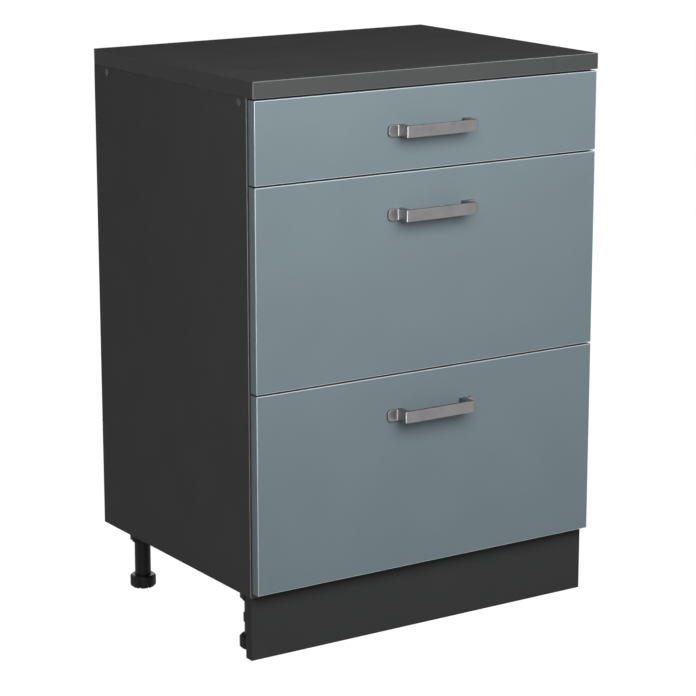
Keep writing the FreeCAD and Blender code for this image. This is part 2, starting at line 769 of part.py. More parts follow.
def add_axle(body, y, root_x, towards_side):
    """A riveted axle from the web at root_x through a roller, ending in a flat head."""
    direction = "-" if towards_side else "+"
    far = "%s %s (roller_width + 2 * roller_gap)" % (root_x, direction)
    for lift, diameter, length in ((root_x, "axle_diameter", "roller_width + 2 * roller_gap"),
                                   (far, "axle_head", "axle_head_thick")):
        sketch = new_sketch(body, "YZ", lift)
        add_circle(sketch, y, "roller_z", diameter)
        extrude(body, sketch, length, reverse=towards_side)


def make_drawer_profile():
    """A profile under the side board, with a flange over the rollers and the rear roller's axle."""
    body = new_body("drawer_profile_pattern", "-inner_half", "box_end_y", "-steel_thick")
    sketch = new_sketch(body, "XZ")
    flange = "profile_top - steel_thick"
    add_outline(sketch, [("web_x", "0"), ("side_gap + shelf_width", "0"),
                         ("side_gap + shelf_width", "steel_thick"), ("side_gap", "steel_thick"),
                         ("side_gap", "profile_top"), ("2 * steel_thick", "profile_top"),
                         ("2 * steel_thick", flange), ("web_x", flange)])
    extrude(body, sketch, "box_length")
    add_axle(body, "-roller_inset", "web_x", True)
    return body


cabinet_runner = make_cabinet_runner()
drawer_profile = make_drawer_profile()


def make_rollers(label, y, z, start):
    """A pair of plastic rollers on one axis line; start is the left roller's outer face."""
    roller = new_body(label + "_left", start, y, z)
    sketch = new_sketch(roller, "YZ")
    add_circle(sketch, "0", "0", "roller_diameter")
    add_circle(sketch, "0", "0", "axle_diameter + 2 * axle_fit")
    extrude(roller, sketch, "roller_width")
    return both_sides(label, [roller])


# Drawers

def make_front(name, front_z, height, side_height):
    """A drawer front; its local y = 0 plane is its rear face, where the box and the screws sit."""
    body = new_board(name + "_front", ("-front_width / 2", "front_back_y", front_z), "XZ",
                     "front_width", height, "front_thick")
    middle = "front_width / 2"
    groove(body, "XZ", "0", (middle + " - box_inner_half - base_groove", "box_rise + base_rise",
                             middle + " + box_inner_half + base_groove", "box_rise + base_top_z"),
           "base_groove", True)
    drill(body, "XZ", "0", [("%s %s handle_pitch / 2" % (middle, side), height + " - handle_drop")
                            for side in "-+"],
          "handle_screw + 2 * screw_fit", "front_thick", True)
    drill(body, "XZ", "0", [("%s %s (box_half - side_thick / 2)" % (middle, side), "box_rise + " + level)
                            for side in "-+" for level in cam_levels(side_height)],
          "cam_bolt_thread + 2 * screw_fit", "cam_bolt_depth + screw_fit", True)
    face = -SIZES["front_thick"]
    round_edges(body, "front_round", lambda box: box.YMax < face + NEAR)
    return keep(body)


def cam_levels(side_height):
    """Heights of a drawer's two cams above the lower edge of its sides."""
    return "cam_low", side_height + " - cam_high"


def make_handle(name, front_z, height):
    """A flat bow handle: a bar on two square legs whose feet turn outwards along the front."""
    body = new_body(name + "_handle", "0", "front_face_y", "%s + %s - handle_drop" % (front_z, height))
    sketch = new_sketch(body, "XY")
    right = [("bar_half - leg_thick", "-grip_depth"), ("bar_half - leg_thick", "0"),
             ("handle_span / 2", "0"), ("handle_span / 2", "-tab_thick"), ("bar_half", "-tab_thick"),
             ("bar_half", "-handle_reach")]
    left = [("-(%s)" % x, y) for x, y in reversed(right)]
    add_outline(sketch, right + left)
    extrude(body, sketch, "handle_height", middle=True)
    reach = SIZES["handle_reach"]
    half, bar = SIZES["handle_span"] / 2, SIZES["bar_length"] / 2
    round_edges(body, "tab_corner",
                lambda box: abs(box.XMin) > half - NEAR and abs(box.XMax) > half - NEAR
                and box.ZLength < NEAR)
    round_edges(body, "bar_end_round",
                lambda box: box.XLength < NEAR and box.YLength < NEAR
                and abs(abs(box.XMin) - bar) < NEAR)
    round_edges(body, "handle_arris",
                lambda box: box.YMax < NEAR - reach and box.XLength > bar and box.YLength < NEAR)
    drill(body, "XZ", "0", [("-handle_pitch / 2", "0"), ("handle_pitch / 2", "0")],
          "handle_screw + 2 * screw_fit", "handle_screw_grip + screw_fit", True)
    return keep(body)


def make_box_side(name, front_z, height):
    """The left side board of a drawer box, grooved for the base and bored for its fasteners."""
    body = new_board(name + "_left_side", ("-box_half", "front_back_y", front_z + " + box_rise"), "YZ",
                     "box_length", height, "side_thick")
    groove(body, "YZ", "side_thick", ("0", "base_rise", "box_length", "base_top_z"), "base_groove")
    drill(body, "XZ", "0", [("side_thick / 2", level) for level in cam_levels(height)],
          "cam_bolt_neck + 2 * screw_fit", "small_cam_reach")
    drill(body, "YZ", "0", [("small_cam_reach", level) for level in cam_levels(height)],
          "cam_diameter + 2 * screw_fit", "small_cam_depth + screw_fit", True)
    drill(body, "YZ", "0", [("box_length - side_thick / 2", level) for level in back_screw_levels(height)],
          "back_screw + 2 * screw_fit", "side_thick", True)
    return keep(body)


def back_screw_levels(height):
    """Heights of the screws from a drawer side into the back board above the side's lower edge."""
    return "back_screw_low", height + " - back_screw_high"


def make_box_back(name, front_z, height):
    """The back board, standing on the base between the two sides."""
    body = new_board(name + "_box_back",
                     ("-box_inner_half", "box_end_y", front_z + " + box_rise + base_top_z"), "XZ",
                     "2 * box_inner_half", height + " - base_top_z", "side_thick")
    centres = [("-side_thick / 2", level + " - base_top_z") for level in back_screw_levels(height)]
    depth = "back_screw_length - wood_screw_head_thick - side_thick + screw_fit"
    for lift, reverse in (("0", True), ("2 * box_inner_half", False)):
        drill(body, "YZ", lift, centres, "back_screw + 2 * screw_fit", depth, reverse)
    return keep(body)


def make_fasteners(name, front_z, front_height, side_height):
    """Every steel fastener of one drawer: handle screws, cam bolts, cams and back screws."""
    middle = [copy_at(handle_screw, side + "handle_pitch / 2", "front_back_y + handle_screw_head_thick",
                      "%s + %s - handle_drop" % (front_z, front_height), (1, 0, 0), QUARTER_TURN)
              for side in "-+"]
    left = []
    for level in cam_levels(side_height):
        z = front_z + " + box_rise + " + level
        left.append(copy_at(small_cam_bolt, "-box_half + side_thick / 2", "front_back_y", z,
                            (1, 0, 0), -QUARTER_TURN))
        left.append(copy_at(small_cam, "-box_half", "front_back_y + small_cam_reach", z,
                            (1, 1, 1), THIRD_TURN))
    for level in back_screw_levels(side_height):
        left.append(driven(back_screw, "-box_half - wood_screw_head_thick", "box_end_y - side_thick / 2",
                           front_z + " + box_rise + " + level))
    return both_sides(name + "_fasteners", left, middle)


runner_screws = []
for name, front_z, front_height, side_height in DRAWERS:
    box_z = front_z + " + box_rise"
    roller_level = box_z + " - steel_thick + roller_z"
    make_front(name, front_z, front_height, side_height)
    make_handle(name, front_z, front_height)
    left_board = make_box_side(name, front_z, side_height)
    keep(mirror(left_board, name + "_right_side"))
    make_box_back(name, front_z, side_height)
    keep(new_board(name + "_box_base", ("-(box_inner_half + base_groove)", "front_back_y - base_groove",
                                        box_z + " + base_rise"), "XY",
                   "2 * (box_inner_half + base_groove)", "box_length + base_groove", "base_board"))
    both_sides(name + "_drawer_profiles",
               [copy_at(drawer_profile, "-inner_half", "box_end_y", box_z + " - steel_thick")])
    both_sides(name + "_cabinet_runners",
               [copy_at(cabinet_runner, "-inner_half", "carcass_front_y + runner_setback + runner_length",
                        box_z + " - steel_thick")])
    make_rollers(name + "_rear_rollers", "rear_roller_y", roller_level,
                 "-inner_half + web_x - roller_gap - roller_width")
    make_rollers(name + "_front_rollers", "front_roller_y", roller_level,
                 "-inner_half + steel_thick + roller_gap")
    make_fasteners(name, front_z, front_height, side_height)
    for y in ("runner_setback + runner_screw_front", "runner_setback + runner_length - runner_screw_rear"):
        runner_screws.append(copy_at(wood_screw, "-inner_half + steel_thick + wood_screw_head_thick",
                                     "carcass_front_y + " + y, roller_level,
                                     (0, 1, 0), -QUARTER_TURN))
both_sides("runner_screws", runner_screws)

doc.recompute()


# Checks, then one file for each sub-part

def faults():
    """What is wrong with the document, in words."""
    found = []
    for item in doc.Objects:
        if "Invalid" in item.State or "Error" in item.State:
            found.append("%s is %s" % (item.Name, item.State))
    for item in doc.Objects:
        if item.TypeId == "PartDesign::Pocket":
            removed = item.BaseFeature.Shape.Volume - item.Shape.Volume
            if removed < SMALLEST_CUT:
                found.append("%s cuts nothing" % item.Name)
    for item in parts:
        if item.Shape.isNull() or not item.Shape.isValid() or not item.Shape.Solids:
            found.append("%s has no valid solid" % item.Label)
    return found


problems = faults()
if problems:
    raise RuntimeError("; ".join(problems))
if len({item.Label for item in parts}) != len(parts):
    raise RuntimeError("two sub-parts share a label")
os.makedirs("parts", exist_ok=True)
for item in parts:
    item.Shape.exportStep(os.path.join("parts", item.Label + ".step"))
print("%d sub-parts written" % len(parts))
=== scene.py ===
"""Looks of a kitchen base cabinet with three drawers, made round its frame.

The frame holds every solid of the cabinet at its real size. This script gives the boards their laminates,
edge bands and raw chipboard, models the handles, fasteners, rollers and the feet's spindles in full, and
sets the cabinet on a pale floor in soft light. Lengths are metres; MM turns millimetres into metres.
"""

import json
import logging
import math
from abc import ABC, abstractmethod
from collections.abc import Callable, Sequence
from dataclasses import dataclass
from enum import Enum

import bmesh
import bpy
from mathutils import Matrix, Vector

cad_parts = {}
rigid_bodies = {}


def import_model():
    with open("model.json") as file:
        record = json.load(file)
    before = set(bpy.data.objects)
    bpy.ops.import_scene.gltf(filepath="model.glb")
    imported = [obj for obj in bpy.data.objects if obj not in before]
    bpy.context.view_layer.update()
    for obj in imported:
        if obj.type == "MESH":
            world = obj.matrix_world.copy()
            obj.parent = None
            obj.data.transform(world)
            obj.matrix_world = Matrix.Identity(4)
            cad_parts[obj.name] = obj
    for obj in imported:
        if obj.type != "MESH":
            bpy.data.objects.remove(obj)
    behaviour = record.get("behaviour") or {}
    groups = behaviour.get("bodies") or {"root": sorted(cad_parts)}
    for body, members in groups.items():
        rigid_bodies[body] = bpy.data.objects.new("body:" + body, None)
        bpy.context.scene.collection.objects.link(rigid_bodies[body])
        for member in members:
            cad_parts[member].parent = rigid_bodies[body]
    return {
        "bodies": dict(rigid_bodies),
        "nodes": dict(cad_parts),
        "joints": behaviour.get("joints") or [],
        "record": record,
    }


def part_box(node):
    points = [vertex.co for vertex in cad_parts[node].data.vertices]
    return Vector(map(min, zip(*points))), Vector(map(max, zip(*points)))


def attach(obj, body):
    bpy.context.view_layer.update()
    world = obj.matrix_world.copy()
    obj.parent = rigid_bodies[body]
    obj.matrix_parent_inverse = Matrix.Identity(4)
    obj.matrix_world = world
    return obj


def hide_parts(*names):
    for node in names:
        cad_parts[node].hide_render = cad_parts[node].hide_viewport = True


log = logging.getLogger("base_cabinet")

LEVELS = ("bottom", "middle", "top")
WHITE = (1, 1, 1, 1)

# Corners nearer than WELD are joined, faces within FLAT are one flat, and an edge past CREASE stays sharp.
MM = 0.001
WELD = 0.002 * MM
FLAT = math.radians(0.5)
CREASE = math.radians(32)

# The bevel profile of a quarter circle, and the weight at which the larger faces decide the shading.
ROUND_PROFILE = 0.5
LARGE_FACES_DECIDE = 100

# The Mix node has several sockets of each name, so those for colours go by number.
MIX_FACTOR, MIX_LOW, MIX_HIGH, MIX_RESULT = 0, 6, 7, 2

Colour = tuple[float, float, float]
Triple = tuple[float, float, float]
Span = tuple[float, float]
Point = tuple[float, float]


# ---------------------------------------------------------------------------------------------------------
# Node trees
# ---------------------------------------------------------------------------------------------------------


class Wire:
    """A number on a socket. An expression on it adds the Math nodes that work the expression out."""

    def __init__(self, graph: "Graph", socket: bpy.types.NodeSocket) -> None:
        """Keep the socket and the graph it belongs to.

        Args:
            graph: the graph that new nodes go into.
            socket: the output that carries the number.
        """
        self.graph = graph
        self.socket = socket

    def __add__(self, other: "Number") -> "Wire":
        """Self plus other."""
        return self.graph.maths("ADD", self, other)

    def __radd__(self, other: "Number") -> "Wire":
        """Other plus self."""
        return self.graph.maths("ADD", other, self)

    def __sub__(self, other: "Number") -> "Wire":
        """Self minus other."""
        return self.graph.maths("SUBTRACT", self, other)

    def __rsub__(self, other: "Number") -> "Wire":
        """Other minus self."""
        return self.graph.maths("SUBTRACT", other, self)

    def __mul__(self, other: "Number") -> "Wire":
        """Self times other."""
        return self.graph.maths("MULTIPLY", self, other)

    def __rmul__(self, other: "Number") -> "Wire":
        """Other times self."""
        return self.graph.maths("MULTIPLY", other, self)

    def __truediv__(self, other: "Number") -> "Wire":
        """Self divided by other."""
        return self.graph.maths("DIVIDE", self, other)

    def __rtruediv__(self, other: "Number") -> "Wire":
        """Other divided by self."""
        return self.graph.maths("DIVIDE", other, self)

    def step(self, low: float, high: float) -> "Wire":
        """Rise smoothly from 0 to 1.

        Args:
            low: the value at and under which the result is 0.
            high: the value at and over which the result is 1.

        Returns:
            The smooth step.
        """
        sockets = {"Value": self, "From Min": low, "From Max": high}
        node = self.graph.node("ShaderNodeMapRange", sockets, interpolation_type="SMOOTHSTEP")
        return self.graph.wire(node, "Result")


Number = float | Wire
Feed = float | int | bool | tuple | Wire | bpy.types.NodeSocket | bpy.types.ID
Sockets = dict[str | int, Feed]


class Graph:
    """A node tree that is being written."""

    def __init__(self, tree: bpy.types.NodeTree) -> None:
        """Keep the tree.

        Args:
            tree: the shader or geometry tree that nodes go into.
        """
        self.tree = tree

    def node(self, kind: str, sockets: Sockets | None = None, **settings: object) -> bpy.types.Node:
        """Add a node.

        Args:
            kind: the node's type name.
            sockets: values or links of its inputs, by name or number.
            settings: the node's own properties, set before its inputs.

        Returns:
            The new node.
        """
        node = self.tree.nodes.new(kind)
        for name, value in settings.items():
            setattr(node, name, value)
        for key, value in (sockets or {}).items():
            feed = value.socket if isinstance(value, Wire) else value
            if isinstance(feed, bpy.types.NodeSocket):
                self.tree.links.new(feed, node.inputs[key])
            else:
                node.inputs[key].default_value = feed
        return node

    def wire(self, node: bpy.types.Node, output: str | int = 0) -> Wire:
        """One output of a node as a number to work with."""
        return Wire(self, node.outputs[output])

    def maths(self, operation: str, *terms: Number) -> Wire:
        """Add a Math node.

        Args:
            operation: the node's operation.
            terms: its one to three inputs.

        Returns:
            The result.
        """
        return self.wire(self.node("ShaderNodeMath", dict(enumerate(terms)), operation=operation))


class Surface(Graph):
    """A material and the pattern sources that the finishes share, all on Object coordinates."""

    def __init__(self, name: str, **constants: Feed) -> None:
        """Start a material.

        Args:
            name: the material's name.
            constants: shader sockets that are the same all over, with _ for each space in the name.
        """
        self.material = bpy.data.materials.new(name)
        self.material.use_nodes = True
        super().__init__(self.material.node_tree)
        self.tree.nodes.clear()
        sockets = {key.replace("_", " "): value for key, value in constants.items()}
        self.shader = self.node("ShaderNodeBsdfPrincipled", sockets)
        self.node("ShaderNodeOutputMaterial", {"Surface": self.shader.outputs["BSDF"]})
        self.coordinates = self.node("ShaderNodeTexCoord").outputs["Object"]

    def place(self, grain: Triple) -> bpy.types.NodeSocket:
        """Object coordinates divided by a grain size in each direction.

        Args:
            grain: the length along X, Y and Z that becomes one unit of the pattern.

        Returns:
            The pattern's coordinates.
        """
        scale = tuple(1 / length for length in grain)
        sockets = {"Vector": self.coordinates, "Scale": scale}
        return self.node("ShaderNodeMapping", sockets).outputs["Vector"]

    def noise(self, grain: float | Triple, detail: float = 2, roughness: float = 0.5) -> Wire:
        """Soft noise from about 0 to 1.

        Args:
            grain: the size of its blotches, one length or one for each direction.
            detail: how many finer octaves it has.
            roughness: how strong those octaves are.

        Returns:
            The noise.
        """
        lengths = grain if isinstance(grain, tuple) else (grain, grain, grain)
        sockets = {"Vector": self.place(lengths), "Scale": 1.0, "Detail": detail, "Roughness": roughness}
        return self.wire(self.node("ShaderNodeTexNoise", sockets))

    def chips(self, grain: Triple) -> Wire:
        """A random number from 0 to 1 for each cell of a cellular pattern.

        Args:
            grain: the size of a cell in each direction.

        Returns:
            The cell's number.
        """
        cells = self.node("ShaderNodeTexVoronoi", {"Vector": self.place(grain), "Scale": 1.0})
        return self.wire(self.node("ShaderNodeSeparateColor", {"Color": cells.outputs["Color"]}))

    def blend(self, mask: Number, low: Feed, high: Feed) -> bpy.types.NodeSocket:
        """Mix two colours.

        Args:
            mask: 0 for the first colour and 1 for the second.
            low: the first colour, three numbers or a socket.
            high: the second colour.

        Returns:
            The mixed colour.
        """
        shades = [(*tone, 1) if isinstance(tone, tuple) else tone for tone in (low, high)]
        sockets = {MIX_FACTOR: mask, MIX_LOW: shades[0], MIX_HIGH: shades[1]}
        return self.node("ShaderNodeMix", sockets, data_type="RGBA", clamp_factor=True).outputs[MIX_RESULT]

    def vary(self, mask: Number, colour: Colour, tones: Span) -> bpy.types.NodeSocket:
        """Make one colour darker and lighter.

        Args:
            mask: 0 for the first tone and 1 for the second.
            colour: the colour.
            tones: the factors that make the two tones from it.

        Returns:
            The varied colour.
        """
        return self.blend(mask, *(shade(colour, factor) for factor in tones))

    def relief(self, height: Wire, depth: float) -> None:
        """Give the surface a relief.

        Args:
            height: the relief's height, from 0 to 1.
            depth: the height of 1 in metres.
        """
        bump = self.node("ShaderNodeBump", {"Height": height, "Distance": depth})
        self.feed("Normal", bump.outputs["Normal"])

    def feed(self, socket: str, value: Feed) -> None:
        """Link something that varies over the surface to the shader.

        Args:
            socket: the shader's input.
            value: what goes into it.
        """
        source = value.socket if isinstance(value, Wire) else value
        self.tree.links.new(source, self.shader.inputs[socket])


def shade(colour: Colour, factor: float) -> Colour:
    """A colour made lighter or darker by a factor."""
    return tuple(channel * factor for channel in colour)


# ---------------------------------------------------------------------------------------------------------
# Finishes
# ---------------------------------------------------------------------------------------------------------


@dataclass(frozen=True)
class Finish(ABC):
    """One finish of the cabinet. Its material is made once, when a piece first asks for it."""

    name: str

    @abstractmethod
    def paint(self) -> bpy.types.Material:
        """Make the finish's material."""

    def material(self) -> bpy.types.Material:
        """The finish's material, made at the first call.

        Returns:
            The material.
        """
        if self not in MADE:
            MADE[self] = self.paint()
        return MADE[self]


MADE: dict[Finish, bpy.types.Material] = {}


@dataclass(frozen=True)
class LacquerFoil(Finish):
    """Matt lacquered foil, drawn over a front board: soft clouds of tone and a very fine orange peel."""

    colour: Colour = (0.183, 0.234, 0.254)
    roughness: float = 0.46
    specular: float = 0.18
    tones: Span = (0.965, 1.035)
    cloud: float = 110 * MM
    peel: float = 2.6 * MM
    peel_depth: float = 0.010 * MM
    grain: float = 0.28 * MM

    def paint(self) -> bpy.types.Material:
        """Make the foil.

        Returns:
            Its material.
        """
        surface = Surface(self.name, Specular_IOR_Level=self.specular)
        clouds = surface.noise(self.cloud, detail=3)
        grain = surface.noise(self.grain, detail=1)
        tone = (clouds * 0.7 + grain * 0.3).step(0.25, 0.75)
        surface.feed("Base Color", surface.vary(tone, self.colour, self.tones))
        surface.feed("Roughness", self.roughness - 0.05 + 0.1 * grain)
        surface.relief(surface.noise(self.peel, detail=1) * 0.75 + grain * 0.25, self.peel_depth)
        return surface.material


@dataclass(frozen=True)
class Laminate(Finish):
    """Melamine laminate with a pressed pearl grain."""

    colour: Colour
    contrast: float = 0.08
    roughness: float = 0.55
    specular: float = 0.2
    grain: float = 0.9 * MM
    depth: float = 0.02 * MM
    fleck: float = 0.25 * MM
    cloud: float = 70 * MM

    def paint(self) -> bpy.types.Material:
        """Make the laminate.

        Returns:
            Its material.
        """
        surface = Surface(self.name, Specular_IOR_Level=self.specular)
        pearl = surface.noise(self.grain, roughness=0.6)
        fleck = surface.noise(self.fleck, detail=1)
        cloud = surface.noise(self.cloud)
        tone = (pearl * 0.35 + fleck * 0.4 + cloud * 0.25).step(0.32, 0.68)
        tones = (1 - self.contrast, 1 + self.contrast)
        surface.feed("Base Color", surface.vary(tone, self.colour, tones))
        surface.feed("Roughness", self.roughness - 0.06 + 0.12 * pearl)
        surface.relief(pearl * 0.8 + fleck * 0.2, self.depth)
        return surface.material


@dataclass(frozen=True)
class EdgeBand(Finish):
    """Plastic edge band: the board's tone, with the fine lines that scraping leaves along it."""

    colour: Colour
    roughness: float = 0.45
    specular: float = 0.25
    tones: Span = (0.94, 1.06)
    line: Triple = (60 * MM, 0.5 * MM, 60 * MM)
    line_depth: float = 0.012 * MM
    cloud: float = 25 * MM

    def paint(self) -> bpy.types.Material:
        """Make the band.

        Returns:
            Its material.
        """
        surface = Surface(self.name, Specular_IOR_Level=self.specular)
        lines = surface.noise(self.line)
        surface.feed("Base Color", surface.vary(surface.noise(self.cloud), self.colour, self.tones))
        surface.feed("Roughness", self.roughness - 0.07 + 0.14 * lines)
        surface.relief(lines, self.line_depth)
        return surface.material


@dataclass(frozen=True)
class RawChipboard(Finish):
    """Sawn chipboard: long chips among fine ones, with small sunk gaps between that are painted dark as
    shade.
    """

    tones: tuple[Colour, Colour, Colour] = ((0.20, 0.115, 0.055), (0.43, 0.28, 0.15), (0.60, 0.44, 0.27))
    gap: Colour = (0.07, 0.04, 0.02)
    long_chip: Triple = (5.5 * MM, 5.5 * MM, 2.0 * MM)
    fine_chip: float = 1.1 * MM
    fibre: Triple = (0.25 * MM, 0.25 * MM, 0.12 * MM)
    hole: float = 1.4 * MM
    depth: float = 0.25 * MM

    def paint(self) -> bpy.types.Material:
        """Make the sawn face.

        Returns:
            Its material.
        """
        surface = Surface(self.name, Specular_IOR_Level=0.15, Roughness=0.85)
        long_chip = surface.chips(self.long_chip)
        fine_chip = surface.chips((self.fine_chip,) * 3)
        fibre = surface.noise(self.fibre)
        tone = long_chip * 0.45 + fine_chip * 0.35 + fibre * 0.3
        dark, middle, light = self.tones
        warm = surface.blend(tone.step(0.2, 0.6), dark, middle)
        wood = surface.blend(tone.step(0.55, 1.0), warm, light)
        # The gaps are sunk in the relief, and their dark colour is painted shade in the holes.
        holes = surface.noise(self.hole).step(0.62, 0.72)
        surface.feed("Base Color", surface.blend(holes, wood, self.gap))
        surface.relief(tone - holes * 0.8, self.depth)
        return surface.material


@dataclass(frozen=True)
class FineFibreboard(Finish):
    """Bare medium-density fibreboard in the bores of the fronts: even, pale brown and felted."""

    colour: Colour = (0.42, 0.29, 0.17)
    tones: Span = (0.75, 1.2)
    fibre: Triple = (0.9 * MM, 0.9 * MM, 0.3 * MM)
    depth: float = 0.05 * MM

    def paint(self) -> bpy.types.Material:
        """Make the bare board.

        Returns:
            Its material.
        """
        surface = Surface(self.name, Specular_IOR_Level=0.1, Roughness=0.9)
        fibre = surface.noise(self.fibre, detail=3, roughness=0.6)
        surface.feed("Base Color", surface.vary(fibre, self.colour, self.tones))
        surface.relief(fibre, self.depth)
        return surface.material


@dataclass(frozen=True)
class Hardboard(Finish):
    """Bare back of a hardboard: brown, felted from fine fibres, with a few paler bundles."""

    colour: Colour = (0.19, 0.105, 0.05)
    tones: Span = (0.6, 1.35)
    bundle_tone: float = 2.1
    fibre: Triple = (1.6 * MM, 0.3 * MM, 0.5 * MM)
    bundle: Triple = (7 * MM, 3 * MM, 2 * MM)
    cloud: float = 60 * MM
    depth: float = 0.06 * MM

    def paint(self) -> bpy.types.Material:
        """Make the bare back.

        Returns:
            Its material.
        """
        surface = Surface(self.name, Specular_IOR_Level=0.2, Roughness=0.8)
        fibre = surface.noise(self.fibre, detail=3, roughness=0.6)
        bundle = surface.noise(self.bundle, detail=3, roughness=0.65).step(0.58, 0.78)
        cloud = surface.noise(self.cloud)
        ground = surface.vary(fibre * 0.7 + cloud * 0.3, self.colour, self.tones)
        pale = shade(self.colour, self.bundle_tone)
        surface.feed("Base Color", surface.blend(bundle * 0.5, ground, pale))
        surface.relief(fibre, self.depth)
        return surface.material


@dataclass(frozen=True)
class SatinNickel(Finish):
    """Brushed and plated zinc of the handles: fine lines along the bar and soft patches of tone."""

    colour: Colour = (0.235, 0.228, 0.228)
    tones: Span = (0.86, 1.14)
    roughness: float = 0.30
    brush: Triple = (14 * MM, 0.16 * MM, 0.16 * MM)
    brush_depth: float = 0.006 * MM
    patch: float = 22 * MM

    def paint(self) -> bpy.types.Material:
        """Make the plating.

        Returns:
            Its material.
        """
        surface = Surface(self.name, Metallic=1.0)
        brush = surface.noise(self.brush, detail=3, roughness=0.6)
        patch = surface.noise(self.patch)
        tone = (brush * 0.6 + patch * 0.4).step(0.3, 0.7)
        surface.feed("Base Color", surface.vary(tone, self.colour, self.tones))
        surface.feed("Roughness", self.roughness - 0.1 + 0.14 * brush + 0.06 * patch)
        surface.relief(brush, self.brush_depth)
        return surface.material


@dataclass(frozen=True)
class PlatedSteel(Finish):
    """Zinc-plated or cast metal of the fasteners, with small changes of sheen."""

    colour: Colour = (0.56, 0.56, 0.53)
    roughness: float = 0.32
    pit: float = 0.6 * MM
    depth: float = 0.012 * MM
    tones: Span = (0.8, 1.1)
    patch: float = 4 * MM

    def paint(self) -> bpy.types.Material:
        """Make the metal.

        Returns:
            Its material.
        """
        surface = Surface(self.name, Metallic=1.0)
        pit = surface.noise(self.pit)
        patch = surface.noise(self.patch).step(0.3, 0.7)
        surface.feed("Base Color", surface.vary(patch, self.colour, self.tones))
        surface.feed("Roughness", self.roughness - 0.06 + 0.1 * pit + 0.06 * patch)
        surface.relief(pit, self.depth)
        return surface.material


@dataclass(frozen=True)
class CoatedSteel(Finish):
    """Powder-coated sheet steel of the runners, with the coat's low waves and scuffs along the run."""

    colour: Colour = (0.55, 0.56, 0.56)
    tones: Span = (0.94, 1.04)
    scuff_tone: float = 0.62
    roughness: float = 0.38
    wave: float = 1.8 * MM
    wave_depth: float = 0.03 * MM
    scuff: Triple = (0.6 * MM, 40 * MM, 0.6 * MM)
    cloud: float = 45 * MM

    def paint(self) -> bpy.types.Material:
        """Make the coat.

        Returns:
            Its material.
        """
        surface = Surface(self.name, Specular_IOR_Level=0.4)
        scuff = surface.noise(self.scuff, detail=3, roughness=0.6).step(0.56, 0.7)
        ground = surface.vary(surface.noise(self.cloud), self.colour, self.tones)
        rubbed = shade(self.colour, self.scuff_tone)
        surface.feed("Base Color", surface.blend(scuff * 0.35, ground, rubbed))
        surface.feed("Roughness", self.roughness + 0.14 * scuff)
        surface.relief(surface.noise(self.wave, detail=1), self.wave_depth)
        return surface.material


@dataclass(frozen=True)
class MouldedPlastic(Finish):
    """Injection-moulded plastic with the fine texture of its mould and rubbed spots."""

    colour: Colour
    roughness: float
    specular: float = 0.3
    tones: Span = (0.88, 1.12)
    texture: float = 0.35 * MM
    depth: float = 0.02 * MM
    spot: float = 9 * MM

    def paint(self) -> bpy.types.Material:
        """Make the plastic.

        Returns:
            Its material.
        """
        surface = Surface(self.name, Specular_IOR_Level=self.specular)
        texture = surface.noise(self.texture)
        spots = surface.noise(self.spot, detail=3).step(0.3, 0.72)
        surface.feed("Base Color", surface.vary(spots, self.colour, self.tones))
        surface.feed("Roughness", self.roughness - 0.08 + 0.1 * texture + 0.08 * spots)
        surface.relief(texture, self.depth)
        return surface.material


@dataclass(frozen=True)
class SoftRubber(Finish):
    """Clear soft rubber of the bumpers, a little milky."""

    colour: Colour = (0.62, 0.62, 0.60)
    tones: Span = (0.9, 1.1)
    roughness: float = 0.22
    milk: float = 2.5 * MM

    def paint(self) -> bpy.types.Material:
        """Make the rubber.

        Returns:
            Its material.
        """
        surface = Surface(self.name, Transmission_Weight=0.35, IOR=1.42)
        milk = surface.noise(self.milk)
        surface.feed("Base Color", surface.vary(milk, self.colour, self.tones))
        surface.feed("Roughness", self.roughness + 0.12 * milk)
        return surface.material


@dataclass(frozen=True)
class Beech(Finish):
    """Bare beech of the dowels: pale pink-brown, with short darker flecks along the grain."""

    colour: Colour = (0.58, 0.40, 0.24)
    tones: Span = (0.82, 1.12)
    fleck_tone: float = 0.5
    grain: Triple = (9 * MM, 0.5 * MM, 0.5 * MM)
    grain_depth: float = 0.04 * MM
    fleck: Triple = (2.2 * MM, 0.3 * MM, 0.3 * MM)

    def paint(self) -> bpy.types.Material:
        """Make the bare wood.

        Returns:
            Its material.
        """
        surface = Surface(self.name, Specular_IOR_Level=0.3, Roughness=0.6)
        grain = surface.noise(self.grain, detail=3, roughness=0.6)
        fleck = surface.noise(self.fleck).step(0.6, 0.74)
        wood = surface.vary(grain.step(0.3, 0.7), self.colour, self.tones)
        dark = shade(self.colour, self.fleck_tone)
        surface.feed("Base Color", surface.blend(fleck * 0.6, wood, dark))
        surface.relief(grain, self.grain_depth)
        return surface.material


